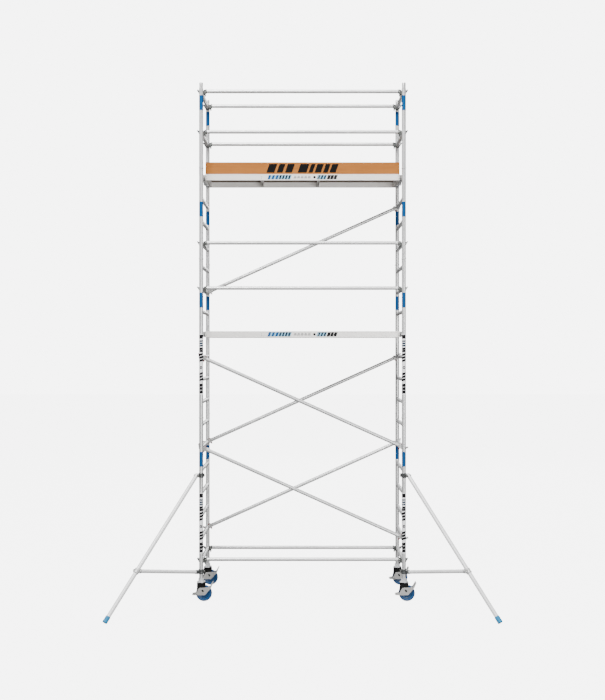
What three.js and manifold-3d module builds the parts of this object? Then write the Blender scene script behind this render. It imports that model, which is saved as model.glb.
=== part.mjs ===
// Mobile tower scaffold: stacked end frames, horizontal and diagonal braces, two trapdoor platforms,
// toe boards, four castored adjustable legs and two stabilisers.
// Millimetres, +Z up, +X along the bay, the stabilisers on the -Y side. Heights are above the floor.
import * as THREE from 'three';
import Module from 'manifold-3d';
import { mergeVertices } from 'three/addons/utils/BufferGeometryUtils.js';

const wasm = await Module();
wasm.setup();

// ---- Driving dimensions ---------------------------------------------------------------------

const BAY = 2500; // between upright axes, along X
const WIDTH = 900; // between upright axes, along Y
const FRAME_BASE = 280; // foot of the lowest frame
const RUNG_PITCH = 280;
const FIRST_RUNG = 490;
const FRAME_HEIGHTS = { lower: 1960, middle: 1960, upper: 1120, guardrail: 1000 };
const GUARD_RUNG_TOP = 35; // top guardrail rung below the top of its frame
const GUARD_RUNG_PITCH = 500;
const GAP = 0.4; // left between pieces that rest on each other
const PAST = 1; // how far a cutting tool runs past what it cuts

const UPRIGHT_R = 25.4;
const UPRIGHT_BORE_R = 23.2;
const SPIGOT_R = 22.6;
const SPIGOT_BORE_R = 20.4;
const SPIGOT_LENGTH = 70; // standing above the frame
const SPIGOT_ROOT = 60; // held inside the frame
const RUNG_R = 24;
const RUNG_BORE_R = 22;
const TUBE_SIDES = 10;
const UPRIGHT_SIDES = 8;
const RUNG_SIDES = 8;
const ARC_STEPS = 3;
const WHEEL_SIDES = 20;

const BRACE_R = 22.5;
const BRACE_BORE_R = 20.7;
const BRACE_INSET = 60; // brace plane inside the upright axes
const RAIL_LIFT = 12; // tube of a level brace above the axis of its claws
const CLAW_MOUTH_R = 27;
const CLAW_R = 36;
const CLAW_WIDTH = 46;
const NECK_END = 82;
const NECK_HALF = 22.5;
const LIP_REACH = 54;
const LIP_HEIGHT = 30;
const TUBE_LAP = 10; // of the brace tube inside the claw's neck
const DRAIN_HOLE = 8;

const PLATFORM_RUNGS = { lower: 10, upper: 17 };
const DECK_HALF_LENGTH = 1212;
const DECK_HALF_WIDTH = 300;
const BEAM_TOP = 40; // above the rung axis
const BEAM_BOTTOM = -38;
const SHEET = 3; // wall of the beams
const FLANGE = 20;
const LEDGE = 38;
const PLY = 12;
const CROSS_BEAM = 30;
const CROSS_BEAM_DROP = 60;
const HATCH_LEFT = -512; // middle of the cross beam at each end of the hatch
const HATCH_RIGHT = 202;
const HATCH_HALF_WIDTH = 243;
const HATCH_GAP = 2;
const HOOK_R = 36;
const HOOK_MOUTH_R = 27;
const HOOK_WIDTH = 32;
const HOOK_LAP = 8; // into the end beam
const HOOK_Y = 250;
const TOE_BOARD_HEIGHT = 147;
const TOE_BOARD_THICKNESS = 20;

const SPINDLE_R = 19;
const SPINDLE_LENGTH = 480;
const KINGPIN_R = 8;
const KINGPIN_LENGTH = 20;
const NUT_BORE_R = 20.4;
const NUT_R = 34;
const NUT_FLANGE_R = 55;
const NUT_BOTTOM = 233;
const NUT_FLANGE_TOP = 247;
const NUT_FILLET = 5;
const SWIVEL_CLEARANCE = 0.6;
const CROWN_TOP = 229.4;
const CROWN_BOTTOM = 204;
const CROWN_ENDS = [-50, 54];
const CHEEK_IN = 27;
const CHEEK_OUT = 34;
const WHEEL_R = 100;
const WHEEL_WIDTH = 46;
const WHEEL_TRAIL = 36; // axle behind the swivel axis
const HUB_WIDTH = 53;
const HUB_R = 24;
const HUB_FILLET = 4;
const AXLE_R = 6;
const AXLE_CLEARANCE = 0.5;
const TREAD_CHAMFER = 7;
const DISH = 6; // of the wheel's sides next to the hub
const PEDAL_PIVOT = [-48, 92]; // x from the swivel axis, height
const PEDAL_PIN_R = 5;
const PEDAL_IN = 35.2;
const PEDAL_OUT = 38.2;
const TOE_ROD = [-104, 87]; // x from the swivel axis, height
const TOE_ROD_R = 6;

const STAY_ANGLE = 48.5; // degrees out from the bay line
const STAY_TOP = 1550; // height of the upper clamp
const STAY_LOW = 366; // height of the lower clamp
const STAY_REACH = 1480; // foot from the upright axis
const STAY_R = 24;
const STAY_BORE_R = 21.5;
const STAY_PIVOT = 80; // tube pivot from the upright axis
const STAY_PIN_R = 6;
const STAY_PIN_HOLE_R = 7;
const STAY_STUB = 26; // of tube above its pivot
const ARM_R = 22.5;
const ARM_BORE_R = 20.7;
const ARM_JOINT = 0.668; // along the tube from its pivot
const CLAMP_BORE_R = 27.2;
const CLAMP_R = 33.5;
const CLAMP_HEIGHT = 60;
const ARM_HEEL = 50; // start of the arm from the upright axis
const ARM_LAP = 20; // from the arm's end to the axis of the long tube
const ARM_BLOCK = [20, 22]; // half width and half height
const LUG_IN = 25.5;
const LUG_OUT = 31.5;
const FOOT_R = 30;
const FOOT_LENGTH = 78;
const FOOT_WALL_END = 16;

// ---- Materials --------------------------------------------------------------------------------

function finish(color, roughness, metalness) {
  return new THREE.MeshStandardMaterial({ color, roughness, metalness });
}

const FINISH = {
  tube: finish(0xd2d3d3, 0.42, 0.9),
  beam: finish(0xe0e1e0, 0.4, 0.85),
  steel: finish(0xb9bbbb, 0.45, 0.9),
  zinc: finish(0x8e9090, 0.45, 0.9),
  black: finish(0x1d1e20, 0.55, 0.1),
  blue: finish(0x1f5f9e, 0.45, 0.0),
  cyan: finish(0x2b9fb4, 0.6, 0.0),
  deckPly: finish(0x4a3527, 0.7, 0.0),
  toePly: finish(0x7c4a2d, 0.65, 0.0),
};

// ---- Solid helpers ----------------------------------------------------------------------------

function degrees(angle) {
  return THREE.MathUtils.degToRad(angle);
}

function solid(geometry) {
  const bare = new THREE.BufferGeometry();
  bare.setAttribute('position', geometry.getAttribute('position'));
  bare.setIndex(geometry.index);
  const merged = mergeVertices(bare);
  return new wasm.Manifold(new wasm.Mesh({
    numProp: 3,
    vertProperties: new Float32Array(merged.attributes.position.array),
    triVerts: new Uint32Array(merged.index.array),
  }));
}

function join(pieces) {
  return pieces.reduce((total, piece) => total.add(piece));
}

function cut(body, tools) {
  return tools.reduce((rest, tool) => rest.subtract(tool), body);
}

function toMesh(name, body, material) {
  const { numProp, vertProperties, triVerts } = body.getMesh();
  const positions = [];
  for (let i = 0; i < vertProperties.length; i += numProp) {
    positions.push(vertProperties[i], vertProperties[i + 1], vertProperties[i + 2]);
  }
  const geometry = new THREE.BufferGeometry();
  geometry.setAttribute('position', new THREE.Float32BufferAttribute(positions, 3));
  geometry.setIndex(Array.from(triVerts));
  geometry.computeVertexNormals();
  const mesh = new THREE.Mesh(geometry, material);
  mesh.name = name;
  return mesh;
}

function box(low, high) {
  const geometry = new THREE.BoxGeometry(high[0] - low[0], high[1] - low[1], high[2] - low[2]);
  geometry.translate((low[0] + high[0]) / 2, (low[1] + high[1]) / 2, (low[2] + high[2]) / 2);
  return solid(geometry);
}

// A straight many-sided rod between two points.
function rod(from, to, radius, sides = TUBE_SIDES) {
  const start = new THREE.Vector3(...from);
  const end = new THREE.Vector3(...to);
  const along = end.clone().sub(start);
  const geometry = new THREE.CylinderGeometry(radius, radius, along.length(), sides);
  const turn = new THREE.Quaternion();
  turn.setFromUnitVectors(new THREE.Vector3(0, 1, 0), along.clone().normalize());
  geometry.applyQuaternion(turn);
  const middle = start.add(end).multiplyScalar(0.5);
  geometry.translate(middle.x, middle.y, middle.z);
  return solid(geometry);
}

// A closed profile of [radius, height] points turned about the Z axis.
function turned(profile, sides) {
  const points = profile.map(([r, z]) => new THREE.Vector2(r, z));
  points.push(points[0].clone());
  const geometry = new THREE.LatheGeometry(points, sides);
  geometry.rotateX(Math.PI / 2);
  return solid(geometry);
}

// A shape drawn in the XZ plane, given thickness from y = near to y = far.
function plate(shape, near, far) {
  const geometry = new THREE.ExtrudeGeometry(shape, {
    depth: far - near,
    bevelEnabled: false,
    curveSegments: ARC_STEPS,
  });
  geometry.rotateX(Math.PI / 2);
  geometry.translate(0, far, 0);
  return solid(geometry);
}

function polygon(points) {
  return new THREE.Shape(points.map(([x, z]) => new THREE.Vector2(x, z)));
}

// ---- End frames -------------------------------------------------------------------------------

function rungHeights(first, count) {
  return Array.from({ length: count }, (_, i) => FIRST_RUNG + RUNG_PITCH * (first + i));
}

function frameStoreys() {
  const lowerTop = FRAME_BASE + FRAME_HEIGHTS.lower;
  const middleTop = lowerTop + FRAME_HEIGHTS.middle;
  const upperTop = middleTop + FRAME_HEIGHTS.upper;
  const guardTop = upperTop + FRAME_HEIGHTS.guardrail;
  const topRung = guardTop - GUARD_RUNG_TOP;
  return [
    { name: 'lower', bottom: FRAME_BASE, top: lowerTop, rungs: rungHeights(0, 7) },
    { name: 'middle', bottom: lowerTop, top: middleTop, rungs: rungHeights(7, 7) },
    { name: 'upper', bottom: middleTop, top: upperTop, rungs: rungHeights(14, 4) },
    { name: 'guardrail', bottom: upperTop, top: guardTop, rungs: [topRung - GUARD_RUNG_PITCH, topRung] },
  ];
}

function endFrame(storey) {
  const { bottom, top, rungs } = storey;
  const shoulder = top - GAP;
  const root = shoulder - SPIGOT_ROOT;
  const tip = shoulder + SPIGOT_LENGTH;
  const bodies = [];
  const bores = [];
  for (const y of [-WIDTH / 2, WIDTH / 2]) {
    const upright = (from, to, radius) => rod([0, y, from], [0, y, to], radius, UPRIGHT_SIDES);
    bodies.push(upright(bottom, shoulder, UPRIGHT_R));
    bodies.push(upright(root, tip, SPIGOT_R));
    bores.push(upright(bottom - PAST, root, UPRIGHT_BORE_R));
    bores.push(upright(root - PAST, tip + PAST, SPIGOT_BORE_R));
  }
  for (const z of rungs) {
    bodies.push(rod([0, -WIDTH / 2, z], [0, WIDTH / 2, z], RUNG_R, RUNG_SIDES));
    bores.push(rod([0, -WIDTH / 2, z], [0, WIDTH / 2, z], RUNG_BORE_R, RUNG_SIDES));
  }
  return cut(join(bodies), bores);
}

function addFrames(tower) {
  for (const storey of frameStoreys()) {
    for (const [side, x] of [['left', -BAY / 2], ['right', BAY / 2]]) {
      const mesh = toMesh(`${side}_${storey.name}_frame`, endFrame(storey), FINISH.tube);
      mesh.position.x = x;
      tower.add(mesh);
    }
  }
}

// ---- Horizontal and diagonal braces -----------------------------------------------------------

// The claw cups the rung from below; its lips flare at the mouth. The neck points along +X.
function clawShape(lift) {
  const mouth = degrees(40);
  const shape = new THREE.Shape();
  shape.moveTo(NECK_END, lift - NECK_HALF);
  shape.lineTo(NECK_END, lift + NECK_HALF);
  shape.lineTo(LIP_REACH - 4, LIP_HEIGHT - 2);
  shape.absarc(0, 0, CLAW_MOUTH_R, mouth, Math.PI - mouth, true);
  shape.lineTo(-LIP_REACH + 8, LIP_HEIGHT);
  shape.lineTo(-LIP_REACH, LIP_HEIGHT - 6);
  shape.absarc(0, 0, CLAW_R, degrees(200), degrees(310), false);
  shape.closePath();
  return shape;
}

function brace(length, lift) {
  const half = length / 2;
  const inside = half - NECK_END;
  const reach = inside + TUBE_LAP;
  const claw = plate(clawShape(lift), -CLAW_WIDTH / 2, CLAW_WIDTH / 2);
  const bodies = [
    rod([-reach, 0, lift], [reach, 0, lift], BRACE_R, RUNG_SIDES),
    claw.translate([-half, 0, 0]),
    claw.mirror([1, 0, 0]).translate([half, 0, 0]),
  ];
  const hollow = rod([-inside, 0, lift], [inside, 0, lift], BRACE_BORE_R, RUNG_SIDES);
  const drain = box(
    [-DRAIN_HOLE / 2, -DRAIN_HOLE / 2, lift - BRACE_R - PAST],
    [DRAIN_HOLE / 2, DRAIN_HOLE / 2, lift],
  );
  return cut(join(bodies), [hollow, drain]);
}

function addBrace(tower, name, y, leftHeight, rightHeight) {
  const drop = leftHeight - rightHeight;
  const lift = drop === 0 ? RAIL_LIFT : 0;
  const mesh = toMesh(name, brace(Math.hypot(BAY, drop), lift), FINISH.tube);
  mesh.position.set(0, y, (leftHeight + rightHeight) / 2);
  mesh.rotation.y = Math.atan2(drop, BAY);
  tower.add(mesh);
}

function addBraces(tower) {
  const rung = (index) => FIRST_RUNG + RUNG_PITCH * index;
  const [kneeRung, guardRung] = frameStoreys().at(-1).rungs;
  const front = -WIDTH / 2 + BRACE_INSET;
  const rear = -front;
  addBrace(tower, 'base_rail_front', front, rung(0), rung(0));
  addBrace(tower, 'base_rail_rear', rear, rung(0), rung(0));
  addBrace(tower, 'lower_knee_rail_front', front, rung(12), rung(12));
  addBrace(tower, 'lower_guard_rail_front', front, rung(14), rung(14));
  addBrace(tower, 'upper_knee_rail_front', front, kneeRung, kneeRung);
  addBrace(tower, 'upper_knee_rail_rear', rear, kneeRung, kneeRung);
  addBrace(tower, 'upper_guard_rail_front', front, guardRung, guardRung);
  addBrace(tower, 'upper_guard_rail_rear', rear, guardRung, guardRung);
  addBrace(tower, 'lower_diagonal_front', front, rung(5), rung(1));
  addBrace(tower, 'upper_diagonal_front', front, rung(9), rung(5));
  addBrace(tower, 'lower_diagonal_rear', rear, rung(1), rung(5));
  addBrace(tower, 'middle_diagonal_rear', rear, rung(5), rung(9));
  addBrace(tower, 'upper_diagonal_rear', rear, rung(12), rung(16));
}

// ---- Platforms --------------------------------------------------------------------------------

// The hook drops over the rung from above. The neck points along +X, into the end beam.
function hookShape() {
  const neck = BAY / 2 - DECK_HALF_LENGTH + HOOK_LAP;
  const shape = new THREE.Shape();
  shape.moveTo(neck, HOOK_R);
  shape.lineTo(0, HOOK_R);
  shape.absarc(0, 0, HOOK_R, degrees(90), degrees(215), false);
  shape.absarc(0, 0, HOOK_MOUTH_R, degrees(215), degrees(-20), true);
  shape.lineTo(neck, -12);
  shape.closePath();
  return shape;
}

// A section drawn with its own x along Y and its y upwards, run along X.
function lengthwise(section, halfLength) {
  const geometry = new THREE.ExtrudeGeometry(section, { depth: 2 * halfLength, bevelEnabled: false });
  geometry.translate(0, 0, -halfLength);
  geometry.applyMatrix4(new THREE.Matrix4().set(0, 0, 1, 0, 1, 0, 0, 0, 0, 1, 0, 0, 0, 0, 0, 1));
  return solid(geometry);
}

// An outer web with a top flange, a ledge that carries the plywood and a bottom flange.
function sideBeam() {
  const outer = DECK_HALF_WIDTH;
  const web = outer - SHEET;
  const flange = outer - FLANGE;
  const ledge = outer - LEDGE;
  const ledgeTop = BEAM_TOP - PLY - GAP;
  return lengthwise(polygon([
    [outer, BEAM_BOTTOM],
    [outer, BEAM_TOP],
    [flange, BEAM_TOP],
    [flange, BEAM_TOP - SHEET],
    [web, BEAM_TOP - SHEET],
    [web, ledgeTop],
    [ledge, ledgeTop],
    [ledge, ledgeTop - SHEET],
    [web, ledgeTop - SHEET],
    [web, BEAM_BOTTOM + SHEET],
    [flange, BEAM_BOTTOM + SHEET],
    [flange, BEAM_BOTTOM],
  ]), DECK_HALF_LENGTH);
}

// A channel across the platform, open underneath, with its middle at x.
function crossBeam(x, low, high) {
  const half = CROSS_BEAM / 2;
  const reach = DECK_HALF_WIDTH - SHEET / 2;
  const section = polygon([
    [x - half, low],
    [x - half, high],
    [x + half, high],
    [x + half, low],
    [x + half - SHEET, low],
    [x + half - SHEET, high - SHEET],
    [x - half + SHEET, high - SHEET],
    [x - half + SHEET, low],
  ]);
  return plate(section, -reach, reach);
}

function platformFrame() {
  const ledgeTop = BEAM_TOP - PLY - GAP;
  const endMiddle = DECK_HALF_LENGTH - CROSS_BEAM / 2;
  const hook = plate(hookShape(), -HOOK_WIDTH / 2, HOOK_WIDTH / 2);
  const beam = sideBeam();
  const parts = [beam, beam.mirror([0, 1, 0])];
  for (const x of [HATCH_LEFT, HATCH_RIGHT]) {
    parts.push(crossBeam(x, ledgeTop - CROSS_BEAM_DROP, ledgeTop - 1));
  }
  for (const x of [-endMiddle, endMiddle]) {
    parts.push(crossBeam(x, BEAM_BOTTOM + 1, BEAM_TOP - 1));
  }
  for (const y of [-HOOK_Y, HOOK_Y]) {
    parts.push(hook.translate([-BAY / 2, y, 0]));
    parts.push(hook.mirror([1, 0, 0]).translate([BAY / 2, y, 0]));
  }
  return join(parts);
}

function deckBoard() {
  const halfX = DECK_HALF_LENGTH - CROSS_BEAM - GAP;
  const halfY = DECK_HALF_WIDTH - FLANGE - GAP;
  const bottom = BEAM_TOP - PLY;
  const board = box([-halfX, -halfY, bottom], [halfX, halfY, BEAM_TOP]);
  const opening = box(
    [HATCH_LEFT, -HATCH_HALF_WIDTH - HATCH_GAP, bottom - PAST],
    [HATCH_RIGHT, HATCH_HALF_WIDTH + HATCH_GAP, BEAM_TOP + PAST],
  );
  return board.subtract(opening);
}

function hatch() {
  return box(
    [HATCH_LEFT + HATCH_GAP, -HATCH_HALF_WIDTH, BEAM_TOP - PLY],
    [HATCH_RIGHT - HATCH_GAP, HATCH_HALF_WIDTH, BEAM_TOP],
  );
}

function addPlatforms(tower) {
  for (const [name, rungIndex] of Object.entries(PLATFORM_RUNGS)) {
    const pieces = [
      toMesh(`${name}_platform_frame`, platformFrame(), FINISH.beam),
      toMesh(`${name}_deck_board`, deckBoard(), FINISH.deckPly),
      toMesh(`${name}_hatch`, hatch(), FINISH.deckPly),
    ];
    for (const piece of pieces) {
      piece.position.z = FIRST_RUNG + RUNG_PITCH * rungIndex;
      tower.add(piece);
    }
  }
}

function addToeBoards(tower) {
  const bottom = FIRST_RUNG + RUNG_PITCH * PLATFORM_RUNGS.upper + BEAM_TOP + GAP;
  const top = bottom + TOE_BOARD_HEIGHT;
  const outerX = DECK_HALF_LENGTH - 1;
  const outerY = DECK_HALF_WIDTH;
  const innerX = outerX - TOE_BOARD_THICKNESS;
  const innerY = outerY - TOE_BOARD_THICKNESS;
  const endY = innerY - GAP;
  const boards = {
    toe_board_front: box([-outerX, -outerY, bottom], [outerX, -innerY, top]),
    toe_board_rear: box([-outerX, innerY, bottom], [outerX, outerY, top]),
    toe_board_left: box([-outerX, -endY, bottom], [-innerX, endY, top]),
    toe_board_right: box([innerX, -endY, bottom], [outerX, endY, top]),
  };
  for (const [name, board] of Object.entries(boards)) {
    tower.add(toMesh(name, board, FINISH.toePly));
  }
}

// ---- Adjustable legs and castors --------------------------------------------------------------

function spindle() {
  const bottom = CROWN_TOP + GAP;
  return join([
    rod([0, 0, bottom], [0, 0, bottom + SPINDLE_LENGTH], SPINDLE_R),
    rod([0, 0, bottom - KINGPIN_LENGTH], [0, 0, bottom + PAST], KINGPIN_R),
  ]);
}

function adjustingNut() {
  const top = FRAME_BASE - GAP;
  return turned([
    [NUT_BORE_R, NUT_BOTTOM],
    [NUT_FLANGE_R, NUT_BOTTOM],
    [NUT_FLANGE_R, NUT_FLANGE_TOP],
    [NUT_R, NUT_FLANGE_TOP + NUT_FILLET],
    [NUT_R, top],
    [NUT_BORE_R, top],
  ], TUBE_SIDES);
}

function cheekShape() {
  const [front, back] = CROWN_ENDS;
  return polygon([
    [front, CROWN_TOP],
    [front, 165],
    [-64, 104],
    [-60, 82],
    [-38, 82],
    [-4, 118],
    [20, 84],
    [50, 82],
    [62, 100],
    [back, 165],
    [back, CROWN_TOP],
  ]);
}

function casterFork() {
  const cheek = cheekShape();
  const [front, back] = CROWN_ENDS;
  const [pinX, pinZ] = PEDAL_PIVOT;
  const parts = [
    box([front, -CHEEK_OUT, CROWN_BOTTOM], [back, CHEEK_OUT, CROWN_TOP]),
    plate(cheek, CHEEK_IN, CHEEK_OUT),
    plate(cheek, -CHEEK_OUT, -CHEEK_IN),
    rod([WHEEL_TRAIL, -CHEEK_OUT, WHEEL_R], [WHEEL_TRAIL, CHEEK_OUT, WHEEL_R], AXLE_R),
    rod([pinX, CHEEK_IN, pinZ], [pinX, PEDAL_OUT, pinZ], PEDAL_PIN_R),
    rod([pinX, -PEDAL_OUT, pinZ], [pinX, -CHEEK_IN, pinZ], PEDAL_PIN_R),
  ];
  const holeR = KINGPIN_R + SWIVEL_CLEARANCE;
  return join(parts).subtract(rod([0, 0, CROWN_BOTTOM - PAST], [0, 0, CROWN_TOP + PAST], holeR));
}

function wheel() {
  const half = WHEEL_WIDTH / 2;
  const hub = HUB_WIDTH / 2;
  const bore = AXLE_R + AXLE_CLEARANCE;
  const side = [
    [bore, hub],
    [HUB_R, hub],
    [HUB_R + HUB_FILLET, half - DISH],
    [WHEEL_R - TREAD_CHAMFER, half],
    [WHEEL_R, half - TREAD_CHAMFER],
  ];
  const back = side.map(([r, z]) => [r, -z]);
  const upright = turned([...back, ...side.reverse()], WHEEL_SIDES).rotate([90, 0, 0]);
  return upright.translate([WHEEL_TRAIL, 0, WHEEL_R]);
}

function pedalSideShape() {
  return polygon([
    [-110, 94],
    [-104, 80],
    [-62, 78],
    [48, 79],
    [126, 168],
    [152, 232],
    [144, 240],
    [108, 178],
    [-22, 169],
    [-64, 102],
  ]);
}

function brakePedal() {
  const side = pedalSideShape();
  const footPlate = polygon([[118, 192], [122, 190], [150, 232], [145, 238]]);
  const [pinX, pinZ] = PEDAL_PIVOT;
  const [rodX, rodZ] = TOE_ROD;
  const holeR = PEDAL_PIN_R + SWIVEL_CLEARANCE;
  const parts = [
    plate(side, PEDAL_IN, PEDAL_OUT),
    plate(side, -PEDAL_OUT, -PEDAL_IN),
    rod([rodX, -PEDAL_OUT, rodZ], [rodX, PEDAL_OUT, rodZ], TOE_ROD_R),
    plate(footPlate, -PEDAL_IN - PAST, PEDAL_IN + PAST),
  ];
  const holes = rod([pinX, -PEDAL_OUT - PAST, pinZ], [pinX, PEDAL_OUT + PAST, pinZ], holeR);
  return join(parts).subtract(holes);
}

function addLegs(tower) {
  for (const [row, y] of [['front', -WIDTH / 2], ['rear', WIDTH / 2]]) {
    for (const [side, x] of [['left', -BAY / 2], ['right', BAY / 2]]) {
      const corner = `${row}_${side}`;
      const pieces = [
        toMesh(`spindle_${corner}`, spindle(), FINISH.steel),
        toMesh(`adjusting_nut_${corner}`, adjustingNut(), FINISH.steel),
        toMesh(`caster_fork_${corner}`, casterFork(), FINISH.black),
        toMesh(`wheel_${corner}`, wheel(), FINISH.blue),
        toMesh(`brake_pedal_${corner}`, brakePedal(), FINISH.zinc),
      ];
      for (const piece of pieces) {
        piece.position.set(x, y, 0);
        tower.add(piece);
      }
    }
  }
}

// ---- Stabilisers, drawn in the XZ plane with the upright axis at x = 0 ------------------------

// The tube runs from its pivot on the upper clamp to the middle of the foot's end face.
function stayLine() {
  const start = new THREE.Vector3(STAY_PIVOT, 0, STAY_TOP);
  const slope = Math.atan2(STAY_TOP, STAY_REACH - STAY_PIVOT);
  const end = new THREE.Vector3(STAY_REACH, 0, FOOT_R * Math.sin(slope));
  const along = end.clone().sub(start).normalize();
  return { start, end, along, length: start.distanceTo(end) };
}

function stayPoint(distance) {
  const { start, along } = stayLine();
  return start.clone().addScaledVector(along, distance).toArray();
}

function clampRing(height) {
  const half = CLAMP_HEIGHT / 2;
  return turned([
    [CLAMP_BORE_R, height - half],
    [CLAMP_R, height - half],
    [CLAMP_R, height + half],
    [CLAMP_BORE_R, height + half],
  ], TUBE_SIDES);
}

function clampBore(height) {
  return rod([0, 0, height - CLAMP_HEIGHT], [0, 0, height + CLAMP_HEIGHT], CLAMP_BORE_R);
}

function upperClamp() {
  const lug = polygon([
    [12, STAY_TOP - 24],
    [12, STAY_TOP + 24],
    [STAY_PIVOT + 8, STAY_TOP + 16],
    [STAY_PIVOT + 16, STAY_TOP],
    [STAY_PIVOT + 8, STAY_TOP - 16],
  ]);
  const parts = [
    clampRing(STAY_TOP),
    plate(lug, LUG_IN, LUG_OUT),
    plate(lug, -LUG_OUT, -LUG_IN),
    rod([STAY_PIVOT, -LUG_OUT, STAY_TOP], [STAY_PIVOT, LUG_OUT, STAY_TOP], STAY_PIN_R),
  ];
  return join(parts).subtract(clampBore(STAY_TOP));
}

function stayTube() {
  const { length } = stayLine();
  const bottom = length - FOOT_WALL_END - GAP;
  const side = STAY_R + PAST;
  const body = rod(stayPoint(-STAY_STUB), stayPoint(bottom), STAY_R);
  const bore = rod(stayPoint(-STAY_STUB - PAST), stayPoint(bottom + PAST), STAY_BORE_R);
  const pinHole = rod([STAY_PIVOT, -side, STAY_TOP], [STAY_PIVOT, side, STAY_TOP], STAY_PIN_HOLE_R);
  return cut(body, [bore, pinHole]);
}

function stayFoot() {
  const { length } = stayLine();
  const rim = length - FOOT_LENGTH;
  const cap = rod(stayPoint(rim), stayPoint(length), FOOT_R);
  const socket = rod(stayPoint(rim - PAST), stayPoint(length - FOOT_WALL_END), STAY_R + GAP);
  return cap.subtract(socket);
}

// The arm's own axis, from its heel on the lower clamp to the long tube.
function armLine() {
  const heel = new THREE.Vector3(ARM_HEEL, 0, STAY_LOW);
  const joint = new THREE.Vector3(...stayPoint(stayLine().length * ARM_JOINT));
  return { heel, along: joint.clone().sub(heel).normalize(), length: heel.distanceTo(joint) };
}

function armPoint(distance) {
  const { heel, along } = armLine();
  return heel.clone().addScaledVector(along, distance).toArray();
}

function armDrain() {
  const [x, , z] = armPoint(armLine().length / 2);
  const half = DRAIN_HOLE / 2;
  return box([x - half, -half, z - ARM_R - 2 * PAST], [x + half, half, z]);
}

function stayArm() {
  const at = stayLine().length * ARM_JOINT;
  const { length } = armLine();
  const half = CLAMP_HEIGHT / 2;
  const [blockY, blockZ] = ARM_BLOCK;
  const parts = [
    clampRing(STAY_LOW),
    box([CLAMP_BORE_R, -blockY, STAY_LOW - blockZ], [STAY_PIVOT, blockY, STAY_LOW + blockZ]),
    rod(armPoint(0), armPoint(length - ARM_LAP), ARM_R, RUNG_SIDES),
    rod(stayPoint(at - half), stayPoint(at + half), CLAMP_R),
  ];
  return cut(join(parts), [
    rod(armPoint(STAY_PIVOT), armPoint(length - CLAMP_HEIGHT), ARM_BORE_R, RUNG_SIDES),
    rod(stayPoint(at - CLAMP_HEIGHT), stayPoint(at + CLAMP_HEIGHT), STAY_R + GAP),
    clampBore(STAY_LOW),
    armDrain(),
  ]);
}

function addStabilisers(tower) {
  for (const [side, direction] of [['left', -1], ['right', 1]]) {
    const pieces = [
      toMesh(`stabiliser_clamp_${side}`, upperClamp(), FINISH.zinc),
      toMesh(`stabiliser_tube_${side}`, stayTube(), FINISH.tube),
      toMesh(`stabiliser_arm_${side}`, stayArm(), FINISH.tube),
      toMesh(`stabiliser_foot_${side}`, stayFoot(), FINISH.cyan),
    ];
    const turn = direction > 0 ? -STAY_ANGLE : STAY_ANGLE - 180;
    for (const piece of pieces) {
      piece.position.set(direction * BAY / 2, -WIDTH / 2, 0);
      piece.rotation.z = degrees(turn);
      tower.add(piece);
    }
  }
}

// ---- Assembly, with the origin at the middle of the footprint on the floor --------------------

const tower = new THREE.Group();
addFrames(tower);
addBraces(tower);
addPlatforms(tower);
addToeBoards(tower);
addLegs(tower);
addStabilisers(tower);

const bounds = new THREE.Box3().setFromObject(tower, true);
const middle = bounds.getCenter(new THREE.Vector3());
tower.position.set(-middle.x, -middle.y, -bounds.min.z);

export default tower;
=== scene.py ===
import math
import random

import bpy
from mathutils import Matrix, Vector
from mathutils.geometry import tessellate_polygon


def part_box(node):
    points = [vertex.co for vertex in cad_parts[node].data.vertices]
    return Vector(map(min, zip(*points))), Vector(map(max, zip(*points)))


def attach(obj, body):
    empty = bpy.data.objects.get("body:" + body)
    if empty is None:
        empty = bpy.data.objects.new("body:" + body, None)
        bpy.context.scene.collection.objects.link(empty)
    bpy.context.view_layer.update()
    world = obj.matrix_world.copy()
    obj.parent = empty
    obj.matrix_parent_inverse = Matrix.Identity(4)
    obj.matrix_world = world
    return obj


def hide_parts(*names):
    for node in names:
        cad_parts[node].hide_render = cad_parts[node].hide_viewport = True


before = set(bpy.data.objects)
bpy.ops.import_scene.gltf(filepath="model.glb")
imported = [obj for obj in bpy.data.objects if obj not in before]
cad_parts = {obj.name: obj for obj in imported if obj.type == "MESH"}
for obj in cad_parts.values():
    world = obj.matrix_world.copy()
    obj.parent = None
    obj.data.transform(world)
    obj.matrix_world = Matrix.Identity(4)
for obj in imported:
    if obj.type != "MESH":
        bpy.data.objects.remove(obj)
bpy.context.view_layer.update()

# The looks of a mobile scaffold tower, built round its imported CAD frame. Metres, +Z up, +X along
# the bay, the stabilisers on the -Y side. Heights are above the floor.

rng = random.Random(7)

# ---- Layout, read from the frame ----------------------------------------------------------------


def centre(node):
    low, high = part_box(node)
    return (low + high) / 2


def shift(x, y, z):
    return Matrix.Translation((x, y, z))


def spin(angle, axis):
    return Matrix.Rotation(angle, 4, axis)


def turned_in(end):
    """Turns what is made for the left end of a bar (-1) to suit its right end (1)."""
    return spin(math.pi if end > 0 else 0.0, "Z")


LEFT_X = centre("left_lower_frame").x
RIGHT_X = centre("right_lower_frame").x
MIDDLE_X = (LEFT_X + RIGHT_X) / 2
MIDDLE_Y = centre("left_lower_frame").y
HALF_BAY = (RIGHT_X - LEFT_X) / 2
UPRIGHT_R = 0.0254
HALF_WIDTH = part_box("left_lower_frame")[1].y - MIDDLE_Y - UPRIGHT_R
RUNG_PITCH = 0.280
FRAME_GAP = 0.0004
SPIGOT_R = 0.0226
SPIGOT_BORE_R = 0.0204
SPIGOT_LENGTH = 0.070
FIRST_RUNG = centre("left_lower_frame").z - (SPIGOT_LENGTH - FRAME_GAP) / 2 - 2.75 * RUNG_PITCH
BORE_R = 0.0232
RUNG_R = 0.024
BRACE_R = 0.0225
CLAW_BELOW = 0.03594
RAIL_LIFT = 0.012
STOREYS = ("lower", "middle", "upper", "guardrail")
SIDES = (("left", -1), ("right", 1))
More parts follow.
